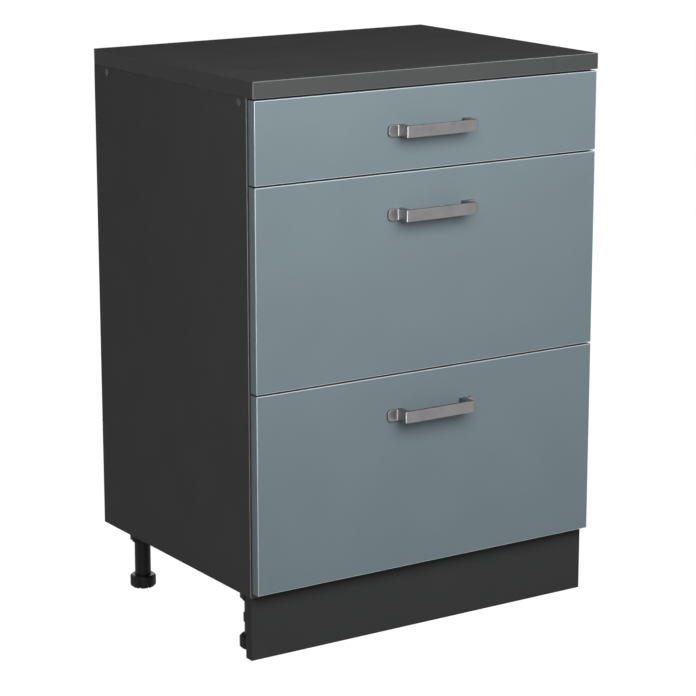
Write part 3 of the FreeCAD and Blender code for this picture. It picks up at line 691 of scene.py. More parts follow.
@dataclass(frozen=True)
class Palette:
    """Every finish of the cabinet."""

    front: Finish = LacquerFoil("blue_grey_foil")
    # Painted highlight: a far lighter, glossier copy of the foil, laid on the fronts' arrises that lean to
    # the front.
    front_painted_highlight: Finish = LacquerFoil(
        "blue_grey_foil_arris", (0.54, 0.63, 0.66), roughness=0.30, specular=0.6
    )
    # Painted shade: a darker copy of the foil on the fronts' top and under edges, so that the joints between
    # the fronts look dark.
    front_painted_shade: Finish = LacquerFoil(
        "blue_grey_foil_edge", (0.090, 0.115, 0.125), roughness=0.6, specular=0.03
    )
    fibreboard: Finish = FineFibreboard("bare_fibreboard")
    front_inner: Finish = Laminate(
        "pale_grey_backing", (0.50, 0.51, 0.50), contrast=0.03, roughness=0.5, specular=0.3
    )
    carcass: Finish = Laminate("anthracite_laminate", (0.079, 0.080, 0.0793), specular=0.03)
    carcass_band: Finish = EdgeBand("anthracite_edge_band", (0.060, 0.062, 0.061))
    # Painted highlight: a lighter, glossier copy of the band, laid on the carcass boards' front-leaning
    # arrises.
    band_painted_highlight: Finish = EdgeBand(
        "scraped_band_arris", (0.30, 0.305, 0.30), roughness=0.32, specular=0.6
    )
    worktop: Finish = Laminate(
        "worktop_pearl", (0.070, 0.071, 0.0705), contrast=0.12, roughness=0.6, specular=0, grain=0.6 * MM
    )
    worktop_band: Finish = EdgeBand("worktop_edge_band", (0.060, 0.062, 0.0615))
    worktop_end: Finish = EdgeBand(
        "worktop_end_band", (0.042, 0.043, 0.043), roughness=0.5, specular=0.1
    )
    # Painted highlight: a lighter, glossier copy of the worktop band, laid on the worktop's front-leaning
    # arrises.
    worktop_arris: Finish = EdgeBand(
        "scraped_worktop_arris", (0.15, 0.152, 0.15), roughness=0.32, specular=0.6
    )
    # Darker than the carcass's laminate; part of that is painted shade, the shade that falls under the
    # drawer fronts.
    plinth: Finish = Laminate("plinth_pearl", (0.048, 0.0493, 0.0486), specular=0.04)
    chipboard: Finish = RawChipboard("raw_chipboard")
    backing_paper: Finish = Laminate(
        "backing_paper", (0.30, 0.25, 0.19), roughness=0.7, specular=0.1
    )
    back_print: Finish = Laminate("printed_back_board", (0.085, 0.087, 0.086), contrast=0.06)
    hardboard: Finish = Hardboard("bare_hardboard")
    drawer: Finish = Laminate(
        "drawer_pearl", (0.44, 0.45, 0.445), contrast=0.05, roughness=0.5, specular=0.3
    )
    drawer_band: Finish = EdgeBand("drawer_edge_band", (0.46, 0.47, 0.465))
    drawer_base: Finish = Laminate(
        "drawer_base_print", (0.50, 0.505, 0.50), contrast=0.05, roughness=0.5, specular=0.3
    )
    nickel: Finish = SatinNickel("satin_nickel")
    runner: Finish = CoatedSteel("coated_runner_steel")
    steel: Finish = PlatedSteel("zinc_plated_steel")
    cast_zinc: Finish = PlatedSteel(
        "cast_zinc_skin", (0.40, 0.40, 0.39), roughness=0.48, pit=0.4 * MM, depth=0.03 * MM
    )
    nylon: Finish = MouldedPlastic("white_nylon", (0.74, 0.74, 0.71), roughness=0.4, specular=0.5)
    black_plastic: Finish = MouldedPlastic(
        "black_moulded_plastic", (0.011, 0.0111, 0.0112), roughness=0.46, specular=0.12
    )
    glide: Finish = MouldedPlastic("grey_moulded_plastic", (0.045, 0.046, 0.047), roughness=0.45)
    cap: Finish = MouldedPlastic(
        "anthracite_moulded_plastic", (0.036, 0.037, 0.0365), roughness=0.34, specular=0.3
    )
    rubber: Finish = SoftRubber("clear_soft_rubber")
    beech: Finish = Beech("bare_beech")


PALETTE = Palette()


# ---------------------------------------------------------------------------------------------------------
# Meshes from the frame
# ---------------------------------------------------------------------------------------------------------


class Facing(Enum):
    """The six directions that a board's outer faces look in."""

    LEFT = (-1, 0, 0)
    RIGHT = (1, 0, 0)
    FRONT = (0, -1, 0)
    REAR = (0, 1, 0)
    UNDERSIDE = (0, 0, -1)
    TOP = (0, 0, 1)

    @property
    def vector(self) -> Vector:
        """The direction as a unit vector."""
        return Vector(self.value)


@dataclass(frozen=True)
class Island:
    """One loose solid of a frame node: its lowest and highest corners."""

    low: Vector
    high: Vector

    @property
    def centre(self) -> Vector:
        """The middle of the solid's box."""
        return (self.low + self.high) / 2

    @property
    def size(self) -> Vector:
        """The lengths of the solid's box."""
        return self.high - self.low


class Frame:
    """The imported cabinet: its nodes, and what the pieces need to know of them."""

    LEAST_SOLID = 3 * MM

    def __init__(self) -> None:
        """Load the frame and find the body of each node."""
        self.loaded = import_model()
        bodies = self.loaded["record"]["behaviour"]["bodies"]
        self.body_of = {node: body for body, nodes in bodies.items() for node in nodes}

    def object(self, node: str) -> bpy.types.Object:
        """A node's own object."""
        return self.loaded["nodes"][node]

    def copy(self, node: str) -> bmesh.types.BMesh:
        """A node's shape as a clean mesh.

        Args:
            node: the node's name.

        Returns:
            A mesh with its corners joined and each flat area in one face.
        """
        mesh = bmesh.new()
        mesh.from_mesh(self.object(node).data)
        bmesh.ops.remove_doubles(mesh, verts=mesh.verts, dist=WELD)
        bmesh.ops.dissolve_limit(mesh, angle_limit=FLAT, verts=mesh.verts, edges=mesh.edges)
        mesh.normal_update()
        return mesh

    def islands(self, node: str) -> list[Island]:
        """The loose solids of a node, without any that is smaller than the least solid.

        Args:
            node: the node's name.

        Returns:
            The solids, sorted by the place of their centres.
        """
        mesh = self.copy(node)
        waiting = set(mesh.verts)
        found = []
        while waiting:
            reached = [waiting.pop()]
            for vert in reached:
                near = {edge.other_vert(vert) for edge in vert.link_edges} & waiting
                waiting -= near
                reached.extend(near)
            corners = [[pick(vert.co[axis] for vert in reached) for axis in range(3)] for pick in (min, max)]
            island = Island(Vector(corners[0]), Vector(corners[1]))
            if max(island.size) > self.LEAST_SOLID:
                found.append(island)
        mesh.free()
        return sorted(found, key=lambda island: tuple(round(length / MM) for length in island.centre))


def limits(node: str) -> tuple[Vector, Vector]:
    """The lowest and the highest corner of a node."""
    low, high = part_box(node)
    return Vector(low), Vector(high)


def add_piece(
    name: str,
    mesh: bpy.types.Mesh,
    finishes: Sequence[Finish],
    body: str,
    replaced: Sequence[str] = (),
) -> bpy.types.Object:
    """Turn a mesh into a finished piece of the cabinet.

    Args:
        name: the piece's name.
        mesh: its mesh, in place in the frame.
        finishes: the finishes that its faces' material numbers stand for, none where the mesh has them.
        body: the body that it moves with.
        replaced: the frame's nodes that it stands for.

    Returns:
        The piece's object.
    """
    mesh.name = name
    for finish in finishes:
        mesh.materials.append(finish.material())
    mesh.shade_smooth()
    mesh.set_sharp_from_angle(angle=CREASE)
    piece = bpy.data.objects.new(name, mesh)
    bpy.context.scene.collection.objects.link(piece)
    level_flats(piece)
    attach(piece, body)
    if replaced:
        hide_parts(*replaced)
    log.info("%s: %d faces on %s", name, len(piece.data.polygons), body)
    return piece


def level_flats(piece: bpy.types.Object) -> None:
    """Let the larger faces decide the shading at rounded arrises, so that flat faces look flat.

    Args:
        piece: the piece, linked to the scene.
    """
    modifier = piece.modifiers.new("level_flats", "WEIGHTED_NORMAL")
    modifier.keep_sharp = True
    modifier.weight = LARGE_FACES_DECIDE
    graph = bpy.context.evaluated_depsgraph_get()
    levelled = bpy.data.meshes.new_from_object(piece.evaluated_get(graph))
    piece.modifiers.clear()
    plain, piece.data = piece.data, levelled
    bpy.data.meshes.remove(plain)
    levelled.name = piece.name


def plain_mesh(mesh: bmesh.types.BMesh) -> bpy.types.Mesh:
    """Turn a bmesh into an ordinary mesh and free it.

    Args:
        mesh: the bmesh.

    Returns:
        The ordinary mesh.
    """
    made = bpy.data.meshes.new("made")
    mesh.to_mesh(made)
    mesh.free()
    return made


def round_edges(
    mesh: bmesh.types.BMesh,
    edges: list[bmesh.types.BMEdge],
    radius: float,
    steps: int,
    clamp: bool = False,
) -> None:
    """Round some edges of a mesh.

    Args:
        mesh: the mesh.
        edges: the edges.
        radius: how round they become.
        steps: how many flats make up the round.
        clamp: whether the round stops short where it would run past a neighbour.
    """
    bmesh.ops.bevel(
        mesh,
        geom=edges,
        offset=radius,
        segments=steps,
        profile=ROUND_PROFILE,
        affect="EDGES",
        clamp_overlap=clamp,
    )
    mesh.normal_update()


@dataclass(frozen=True)
class Board:
    """One board: which finish each outer face has, what its core is, and how round its arrises are."""

    node: str
    slot: str
    faces: dict[Facing, Finish]
    core: Finish = PALETTE.chipboard
    arris: float = 0.6 * MM
    # A lighter copy of a face's finish, laid on the arrises that lean to the front as a painted highlight.
    painted_arris_highlight: Finish | None = None
    arris_steps: int = 3
    arris_reach: float = 1.6 * MM
    arris_lean: float = 0.25
    least_angle: float = math.radians(60)
    straight: float = 0.999
    flush: float = 0.05 * MM

    def dress(self, frame: Frame) -> bpy.types.Object:
        """Make the board's piece from its node.

        Args:
            frame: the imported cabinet.

        Returns:
            The board's object.
        """
        mesh = frame.copy(self.node)
        low, high = limits(self.node)
        self._round_arrises(mesh, low, high)
        finishes = list(dict.fromkeys([self.core, *self.faces.values()]))
        if self.painted_arris_highlight:
            finishes.append(self.painted_arris_highlight)
        for face in mesh.faces:
            face.material_index = finishes.index(self._finish_of(face, low, high))
        name = f"{self.node}_dressed"
        body = frame.body_of[self.node]
        return add_piece(name, plain_mesh(mesh), finishes, body, [self.node])

    def _finish_of(self, face: bmesh.types.BMFace, low: Vector, high: Vector) -> Finish:
        """The finish of one face of the board.

        Args:
            face: the face.
            low: the board's lowest corner.
            high: the board's highest corner.

        Returns:
            The outer face's finish; on an arris that leans to the front, the painted highlight where the
            board has one, otherwise that of the dressed face it leans to; elsewhere the core's.
        """
        facing = self._outer_facing(face, low, high)
        if facing:
            return self.faces.get(facing, self.core)
        centre = face.calc_center_median()
        depths = [min(centre[axis] - low[axis], high[axis] - centre[axis]) for axis in range(3)]
        if sum(depth < self.arris_reach for depth in depths) < 2:
            return self.core
        # Arrises that lean to the front take the painted highlight.
        if self.painted_arris_highlight and face.normal.dot(Facing.FRONT.vector) > self.arris_lean:
            return self.painted_arris_highlight
        hidden = (Facing.UNDERSIDE, Facing.REAR)
        shown = [side for side in self.faces if side not in hidden] or list(self.faces)
        nearest = max(shown, key=lambda side: face.normal.dot(side.vector))
        return self.faces[nearest]

    def _outer_facing(self, face: bmesh.types.BMFace, low: Vector, high: Vector) -> Facing | None:
        """Which outer face of the board a mesh face belongs to.

        Args:
            face: the face.
            low: the board's lowest corner.
            high: the board's highest corner.

        Returns:
            The direction, or None in a bore or groove and on an arris.
        """
        for facing in Facing:
            axis = max(range(3), key=lambda number: abs(facing.value[number]))
            limit = high if facing.value[axis] > 0 else low
            depth = abs(face.calc_center_median()[axis] - limit[axis])
            if face.normal.dot(facing.vector) > self.straight and depth < self.flush:
                return facing
        return None

    def _round_arrises(self, mesh: bmesh.types.BMesh, low: Vector, high: Vector) -> None:
        """Round the edges where two outer faces of the board meet.

        Args:
            mesh: the board's mesh.
            low: its lowest corner.
            high: its highest corner.
        """
        if not self.arris:
            return
        edges = []
        for edge in mesh.edges:
            if len(edge.link_faces) != 2 or edge.calc_face_angle(0) < self.least_angle:
                continue
            if all(self._outer_facing(face, low, high) for face in edge.link_faces):
                edges.append(edge)
        round_edges(mesh, edges, self.arris, self.arris_steps, clamp=True)


def finish_node(frame: Frame, node: str, finish: Finish) -> None:
    """Give a node that stays as it is its finish.

    Args:
        frame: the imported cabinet.
        node: the node's name.
        finish: its finish.
    """
    for place in frame.object(node).material_slots:
        place.material = finish.material()
    log.info("%s: finished as it is", node)


# ---------------------------------------------------------------------------------------------------------
# Turned and threaded pieces
# ---------------------------------------------------------------------------------------------------------


@dataclass(frozen=True)
class Place:
    """Where a repeated piece stands and which way its local Z axis points."""

    at: Vector
    aim: Vector


def arc(centre: Point, radius: float, start: float, end: float, steps: int) -> list[Point]:
    """Points along an arc.

    Args:
        centre: its centre.
        radius: its radius.
        start: its first angle in degrees.
        end: its last angle in degrees.
        steps: how many straight runs it is made of.

    Returns:
        The points, both ends included.
    """
    points = []
    for step in range(steps + 1):
        angle = math.radians(start + (end - start) * step / steps)
        points.append((centre[0] + radius * math.cos(angle), centre[1] + radius * math.sin(angle)))
    return points


def ellipse(centre: Point, radii: Span, start: float, end: float, steps: int) -> list[Point]:
    """Points along part of an ellipse.

    Args:
        centre: its centre.
        radii: its half axes.
        start: its first angle in degrees.
        end: its last angle in degrees.
        steps: how many straight runs it is made of.

    Returns:
        The points, both ends included.
    """
    across, along = radii
    return [(centre[0] + across * x, centre[1] + along * y) for x, y in arc((0, 0), 1, start, end, steps)]


class TurnedTree(Graph):
    """Geometry Nodes that turn a half profile about Z and stand the result at every place.

    The input geometry is the profile, a line of points with X as the radius, from the bottom's middle up to
    the top's middle. A thread, a cross recess and flutes are added where their sizes aren't 0.
    """

    NAME = "turned_pieces"
    INPUTS = {
        "Profile": "Geometry",
        "Places": "Object",
        "Material": "Material",
        "Sides": "Int",
        "Flutes": "Int",
        "Flute Depth": "Float",
        "Recess Span": "Float",
        "Recess Width": "Float",
        "Recess Depth": "Float",
        "Thread Radius": "Float",
        "Thread Rise": "Float",
        "Thread Pitch": "Float",
        "Thread Length": "Float",
        "Thread Top": "Float",
    }
    FLUTED_FROM = 2 * MM
    STEPS_A_TURN = 20
    FADE_IN, FADE_OUT = 9, 14
    THINNEST = 0.15

    def __init__(self) -> None:
        """Write the tree."""
        super().__init__(bpy.data.node_groups.new(self.NAME, "GeometryNodeTree"))
        face = self.tree.interface
        face.new_socket("Geometry", in_out="OUTPUT", socket_type="NodeSocketGeometry")
        for name, kind in self.INPUTS.items():
            face.new_socket(name, in_out="INPUT", socket_type=f"NodeSocket{kind}")
        self.given = self.node("NodeGroupInput")
        solid = self._recessed(self._turned())
        joined = self.node("GeometryNodeJoinGeometry")
        for part in (self._thread(), solid):
            self.tree.links.new(part, joined.inputs["Geometry"])
        self._finish(joined.outputs["Geometry"])

    def _input(self, name: str) -> Wire:
        """One of the tree's inputs."""
        return self.wire(self.given, name)

    def _turned(self) -> bpy.types.NodeSocket:
        """Turn the profile: a grid whose columns are the profile's points, each at its own angle.

        Returns:
            The turned mesh, closed at its seam and poles.
        """
        profile = self.given.outputs["Profile"]
        size = self.node("GeometryNodeAttributeDomainSize", {"Geometry": profile}, component="MESH")
        count = self.wire(size, "Point Count")
        sides = self._input("Sides")
        grid = self.node("GeometryNodeMeshGrid", {"Vertices X": sides + 1, "Vertices Y": count})
        index = self.wire(self.node("GeometryNodeInputIndex"))
        column = self.maths("FLOOR", (index + 0.5) / count)
        row = index - column * count
        position = self.node("GeometryNodeInputPosition").outputs["Position"]
        along = self.node(
            "GeometryNodeSampleIndex",
            {"Geometry": profile, "Value": position, "Index": row},
            data_type="FLOAT_VECTOR",
            clamp=True,
        )
        point = self.node("ShaderNodeSeparateXYZ", {0: along.outputs["Value"]})
        angle = column * math.tau / sides
        ripple = self.maths("ABSOLUTE", self.maths("SINE", angle * self._input("Flutes") * 0.5))
        outer = self.wire(point, "X")
        wall = self.maths("GREATER_THAN", outer, self.FLUTED_FROM)
        radius = outer - self._input("Flute Depth") * (1 - ripple) * wall
        across, deep = radius * self.maths("COSINE", angle), radius * self.maths("SINE", angle)
        turned = self.node("ShaderNodeCombineXYZ", {"X": across, "Y": deep, "Z": self.wire(point, "Z")})
        sockets = {"Geometry": grid.outputs["Mesh"], "Position": turned.outputs["Vector"]}
        placed = self.node("GeometryNodeSetPosition", sockets)
        sockets = {"Geometry": placed.outputs["Geometry"], "Distance": WELD}
        return self.node("GeometryNodeMergeByDistance", sockets).outputs["Geometry"]

    def _recessed(self, solid: bpy.types.NodeSocket) -> bpy.types.NodeSocket:
        """Sink a cross recess into the top.

        Args:
            solid: the turned mesh.

        Returns:
            The mesh with its recess, or as it was where the recess has no depth.
        """
        span, width = self._input("Recess Span"), self._input("Recess Width")
        depth = self._input("Recess Depth")
        cut = self.node("GeometryNodeMeshBoolean", {"Mesh 1": solid}, operation="DIFFERENCE")
        for across, along in ((span, width), (width, span)):
            size = self.node("ShaderNodeCombineXYZ", {"X": across, "Y": along, "Z": depth * 2})
            blade = self.node("GeometryNodeMeshCube", {"Size": size.outputs["Vector"]})
            self.tree.links.new(blade.outputs["Mesh"], cut.inputs["Mesh 2"])
        return self._where_sized(depth, {"True": cut.outputs["Mesh"], "False": solid})

    def _thread(self) -> bpy.types.NodeSocket:
        """Wind the thread's ridge, thinner towards both ends.

        Returns:
            The ridge's mesh, empty where the thread has no length.
        """
        length, radius = self._input("Thread Length"), self._input("Thread Radius")
        helix = self.node(
            "GeometryNodeCurveSpiral",
            {
                "Resolution": self.STEPS_A_TURN,
                "Rotations": length / self._input("Thread Pitch"),
                "Start Radius": radius,
                "End Radius": radius,
                "Height": length,
            },
        )
        run = self.wire(self.node("GeometryNodeSplineParameter"), "Factor")
        fade = self.maths("MINIMUM", run * self.FADE_IN, (1 - run) * self.FADE_OUT)
        thickness = self.maths("MAXIMUM", self.maths("MINIMUM", fade, 1.0), self.THINNEST)
        sockets = {"Curve": helix.outputs["Curve"], "Radius": thickness}
        tapered = self.node("GeometryNodeSetCurveRadius", sockets)
        sockets = {"Resolution": 4, "Radius": self._input("Thread Rise")}
        section = self.node("GeometryNodeCurvePrimitiveCircle", sockets)
        sockets = {"Curve": tapered.outputs["Curve"], "Profile Curve": section.outputs["Curve"]}
        ridge = self.node("GeometryNodeCurveToMesh", {**sockets, "Fill Caps": True})
        drop = self.node("ShaderNodeCombineXYZ", {"Z": self._input("Thread Top") - length})
        sockets = {"Geometry": ridge.outputs["Mesh"], "Translation": drop.outputs["Vector"]}
        lowered = self.node("GeometryNodeTransform", sockets)
        return self._where_sized(length, {"True": lowered.outputs["Geometry"]})

    def _where_sized(self, size: Wire, shapes: Sockets) -> bpy.types.NodeSocket:
        """Choose between two shapes.

        Args:
            size: the size that decides.
            shapes: the shape for a size over 0 as True, and any other as False.

        Returns:
            The chosen shape.
        """
        sockets = {"Switch": self.maths("GREATER_THAN", size, 0.0), **shapes}
        return self.node("GeometryNodeSwitch", sockets, input_type="GEOMETRY").outputs["Output"]

    def _finish(self, solid: bpy.types.NodeSocket) -> None:
        """Stand the solid at every place and give it its material.

        Args:
            solid: one whole piece about its own Z axis.
        """
        places = self.node("GeometryNodeObjectInfo", {"Object": self.given.outputs["Places"]})
        aim = self.node("GeometryNodeInputNamedAttribute", {"Name": "aim"}, data_type="FLOAT_VECTOR")
        turn = self.node("FunctionNodeAlignRotationToVector", {"Vector": aim.outputs["Attribute"]}, axis="Z")
        spread = self.node(
            "GeometryNodeInstanceOnPoints",
            {"Points": places.outputs["Geometry"], "Instance": solid, "Rotation": turn.outputs["Rotation"]},
        )
        real = self.node("GeometryNodeRealizeInstances", {"Geometry": spread.outputs["Instances"]})
        sockets = {"Geometry": real.outputs["Geometry"], "Material": self.given.outputs["Material"]}
        dressed = self.node("GeometryNodeSetMaterial", sockets)
        self.node("NodeGroupOutput", {"Geometry": dressed.outputs["Geometry"]})


@dataclass(frozen=True)
class Turned:
    """A kind of turned piece: its half profile and what is cut into it."""

    profile: list[Point]
    finish: Finish
    sides: int = 32
    flutes: int = 0
    flute_depth: float = 0.0
    recess: Triple = (0.0, 0.0, 0.0)
    thread_radius: float = 0.0
    thread_rise: float = 0.0
    thread_pitch: float = 1 * MM
    thread_length: float = 0.0
    thread_top: float = 0.0

    def mesh(self, places: Sequence[Place]) -> bpy.types.Mesh:
        """Make the pieces at their places.

        Args:
            places: where they stand.

        Returns:
            One plain mesh of them all.
        """
        tree = bpy.data.node_groups.get(TurnedTree.NAME) or TurnedTree().tree
        spots = bpy.data.meshes.new("places")
        spots.from_pydata([place.at for place in places], [], [])
        aims = spots.attributes.new("aim", "FLOAT_VECTOR", "POINT")
        for number, place in enumerate(places):
            aims.data[number].vector = place.aim
        spot_object = bpy.data.objects.new("places", spots)
        line = bpy.data.meshes.new("profile")
        line.from_pydata([(radius, 0, height) for radius, height in self.profile], [], [])
        carrier = bpy.data.objects.new("profile", line)
        for helper in (spot_object, carrier):
            bpy.context.scene.collection.objects.link(helper)
        modifier = carrier.modifiers.new("turned", "NODES")
        modifier.node_group = tree
        span, width, depth = self.recess
        values = {
            "Places": spot_object,
            "Material": self.finish.material(),
            "Sides": self.sides,
            "Flutes": self.flutes,
            "Flute Depth": self.flute_depth,
            "Recess Span": span,
            "Recess Width": width,
            "Recess Depth": depth,
            "Thread Radius": self.thread_radius,
            "Thread Rise": self.thread_rise,
            "Thread Pitch": self.thread_pitch,
            "Thread Length": self.thread_length,
            "Thread Top": self.thread_top,
        }
        for socket in tree.interface.items_tree:
            if socket.in_out == "INPUT" and socket.name in values:
                modifier[socket.identifier] = values[socket.name]
        bpy.context.view_layer.update()
        graph = bpy.context.evaluated_depsgraph_get()
        made = bpy.data.meshes.new_from_object(carrier.evaluated_get(graph))
        carrier.modifiers.clear()
        for helper in (carrier, spot_object):
            bpy.data.objects.remove(helper)
        return made


def outward(mesh: bpy.types.Mesh) -> bpy.types.Mesh:
    """Turn a mesh's faces outwards, shell by shell.

    Args:
        mesh: the mesh.

    Returns:
        The same mesh.
    """
    work = bmesh.new()
    work.from_mesh(mesh)
    bmesh.ops.recalc_face_normals(work, faces=work.faces)
    work.to_mesh(mesh)
    work.free()
    return mesh


# ---------------------------------------------------------------------------------------------------------
# Kinds of fasteners
# ---------------------------------------------------------------------------------------------------------


def wood_screw(length: float, shank: float) -> Turned:
    """A flat-headed wood screw with a cross recess, its head's top at the origin.

    Args:
        length: the whole length.
        shank: the thread's diameter.

    Returns:
        The screw.
    """
    head, thick, chamfer, collar = 3.5 * MM, 1.6 * MM, 0.2 * MM, 1 * MM
    dome_width, dome_height = 1.0 * MM, 0.8 * MM
    core, tip, neck = shank * 0.33, shank * 1.3, shank * 0.45
    profile = [
        (0, -length),
        (core * 0.4, -length + tip * 0.3),
        (core, -length + tip),
        (core, -thick - 2 * collar),
        (shank * 0.42, -thick - collar),
        (neck, -thick),
        (head - chamfer, -thick),
        (head, -thick + chamfer),
        *ellipse((head - dome_width, -dome_height), (dome_width, dome_height), 0, 90, 5),
        (0, 0),
    ]
    return Turned(
        profile,
        PALETTE.steel,
        recess=(4.0 * MM, 0.95 * MM, 1.3 * MM),
        thread_radius=core,
        thread_rise=shank / 2 - core,
        thread_pitch=shank * 0.42,
        thread_length=length - thick - 2.5 * MM,
        thread_top=-thick - 1.4 * MM,
    )


def machine_screw(length: float, shank: float) -> Turned:
    """A pan-headed machine screw of a handle, its head's top at the origin.

    Args:
        length: the whole length.
        shank: the thread's diameter.

    Returns:
        The screw.
    """
    head, thick, chamfer, point = 4 * MM, 2.4 * MM, 0.2 * MM, 0.5 * MM
    dome_width, dome_height = 1.5 * MM, 1.6 * MM
    core = shank * 0.40
    profile = [
        (0, -length),
        (core * 0.8, -length),
        (core, -length + point),
        (core, -thick),
        (head - chamfer, -thick),
        (head, -thick + chamfer),
        *ellipse((head - dome_width, -dome_height), (dome_width, dome_height), 0, 90, 6),
        (0, 0),
    ]
    return Turned(
        profile,
        PALETTE.steel,
        recess=(4.4 * MM, 1.0 * MM, 1.6 * MM),
        thread_radius=core,
        thread_rise=shank / 2 - core,
        thread_pitch=0.7 * MM,
        thread_length=length - thick - 0.4 * MM,
        thread_top=-thick - 0.1 * MM,
    )


def confirmat_screw() -> Turned:
    """A one-piece furniture screw: flat head, plain neck and a coarse thread.

    Returns:
        The screw, its head's top at the origin.
    """
    length, tip, cone, neck_end, collar = 50 * MM, 4 * MM, 3 * MM, 15.5 * MM, 1 * MM
    head, neck, core = 5 * MM, 3.5 * MM, 1.9 * MM
    profile = [
        (0, -length),
        (core * 0.5, -length + 1 * MM),
        (core, -length + tip),
        (core, -neck_end - collar),
        (neck, -neck_end),
        (neck, -cone),
        (head - 0.1 * MM, -0.3 * MM),
        (head - 0.3 * MM, 0),
        (0, 0),
    ]
    return Turned(
        profile,
        PALETTE.steel,
        recess=(5.0 * MM, 1.3 * MM, 2.2 * MM),
        thread_radius=core,
        thread_rise=0.6 * MM,
        thread_pitch=3 * MM,
        thread_length=33 * MM,
        thread_top=-neck_end - collar / 2,
    )


def cam_bolt(length: float) -> Turned:
    """A cam bolt, its ball head's end at the origin and its thread at the far end.

    Args:
        length: the whole length.

    Returns:
        The bolt.
    """
    thread, grip, ball = 11 * MM, 9 * MM, 3 * MM
    neck, waist, core = 3 * MM, 1.5 * MM, 1.9 * MM
    profile = [
        (0, -length),
        (core * 0.7, -length),
        (core, -length + 0.8 * MM),
        (core, -length + thread),
        (neck, -length + thread),
        (neck, -grip - 4 * MM),
        (waist, -grip - 3 * MM),
        (waist, -ball - 0.2 * MM),
        (neck - 0.4 * MM, -ball),
        (neck, -ball + 0.6 * MM),
        (neck, -0.8 * MM),
        (neck - 0.6 * MM, 0),
        (0, 0),
    ]
    return Turned(
        profile,
        PALETTE.steel,
        recess=(3.0 * MM, 0.8 * MM, 1.0 * MM),
        thread_radius=core,
        thread_rise=0.6 * MM,
        thread_pitch=1.8 * MM,
        thread_length=thread - 1.5 * MM,
        thread_top=-length + thread - 0.8 * MM,
    )


def cam(depth: float) -> Turned:
    """A cam housing: a cast drum with a raised rim and a cross recess in its face.

    Args:
        depth: the drum's length.

    Returns:
        The cam.
    """
    radius, chamfer, lip, groove, face = 7.5 * MM, 0.4 * MM, 1.2 * MM, 0.5 * MM, 0.1 * MM
    profile = [
        (0, -depth),
        (radius - chamfer, -depth),
        (radius, -depth + chamfer),
        (radius, -lip),
        (radius - 0.25 * MM, -0.9 * MM),
        (radius - 0.3 * MM, -0.2 * MM),
        (radius - 0.5 * MM, 0),
        (radius - 1.1 * MM, 0),
        (radius - 1.3 * MM, -groove),
        (4.3 * MM, -groove),
        (4.0 * MM, -face),
        (0, -face),
    ]
    return Turned(profile, PALETTE.cast_zinc, sides=48, recess=(6.4 * MM, 1.6 * MM, 3.2 * MM))


def dowel() -> Turned:
    """A fluted beech dowel with chamfered ends.

    Returns:
        The dowel, one end at the origin.
    """
    radius, length, chamfer = 4 * MM, 30 * MM, 1 * MM
    profile = [
        (0, -length),
        (radius - chamfer, -length),
        (radius, -length + chamfer),
        (radius, -chamfer),
        (radius - chamfer, 0),
        (0, 0),
    ]
    return Turned(profile, PALETTE.beech, sides=72, flutes=18, flute_depth=0.3 * MM)


def screw_cap(height: float) -> Turned:
    """A cover cap: a round rim about a lower, softly domed face.

    Args:
        height: how far it stands out from the panel.

    Returns:
        The cap, its outer face at the origin.
    """
    radius, rim, foot = 6 * MM, 1.1 * MM, height * 0.75
    profile = [
        (0, -height),
        (radius, -height),
        *ellipse((radius - rim / 2, -foot), (rim / 2, foot), 0, 180, 10),
        (radius - rim - 0.3 * MM, -height * 0.85),
        (2.4 * MM, -height * 0.72),
        (0, -height * 0.68),
    ]
    return Turned(profile, PALETTE.cap, sides=56)


def bumper(height: float) -> Turned:
    """A soft stick-on bumper: a low dome on a short foot, its foot at the origin.

    Args:
        height: the dome's top.

    Returns:
        The bumper.
    """
    radius, foot = 4 * MM, 0.4 * MM
    profile = [(0, 0), (radius, 0), *ellipse((0, foot), (radius, height - foot), 0, 90, 10)]
    return Turned(profile, PALETTE.rubber, sides=40)


# ---------------------------------------------------------------------------------------------------------
# Sub-assemblies
# ---------------------------------------------------------------------------------------------------------


@dataclass
class Carcass:
    """The fixed body of the cabinet: sides, bottom, rails, back, worktop and plinth."""

    frame: Frame
    arris: float = 0.5 * MM
    worktop_arris: float = 0.9 * MM

    def build(self) -> None:
        """Dress every board of the carcass."""
        band, laminate = PALETTE.carcass_band, PALETTE.carcass
        side = {Facing.LEFT: laminate, Facing.RIGHT: laminate, Facing.FRONT: band}
        flat = {Facing.TOP: laminate, Facing.UNDERSIDE: laminate, Facing.FRONT: band}
        # The side panels' front-leaning arrises take a painted highlight.
        rounds = {"arris": self.arris, "painted_arris_highlight": PALETTE.band_painted_highlight}
        for node in ("left_side_panel", "right_side_panel"):
            Board(node, "carcass_laminate", side, **rounds).dress(self.frame)
        for node in ("bottom_panel", "front_rail", "rear_rail"):
            Board(node, "carcass_laminate", flat, arris=self.arris).dress(self.frame)
        back = {Facing.FRONT: PALETTE.back_print}
        Board("back_panel", "back_board", back, PALETTE.hardboard, arris=0).dress(self.frame)
        top = {
            Facing.TOP: PALETTE.worktop,
            Facing.FRONT: PALETTE.worktop_band,
            Facing.LEFT: PALETTE.worktop_end,
            Facing.RIGHT: PALETTE.worktop_end,
            Facing.UNDERSIDE: PALETTE.backing_paper,
        }
        # The worktop's front-leaning arrises take a painted highlight.
        rounds = {"arris": self.worktop_arris, "painted_arris_highlight": PALETTE.worktop_arris}
        Board("worktop", "worktop_laminate", top, **rounds).dress(self.frame)
        plinth = {facing: PALETTE.plinth for facing in (Facing.FRONT, Facing.LEFT, Facing.RIGHT, Facing.TOP)}
        plinth[Facing.REAR] = PALETTE.backing_paper
        Board("plinth_board", "plinth_laminate", plinth, arris=self.arris).dress(self.frame)


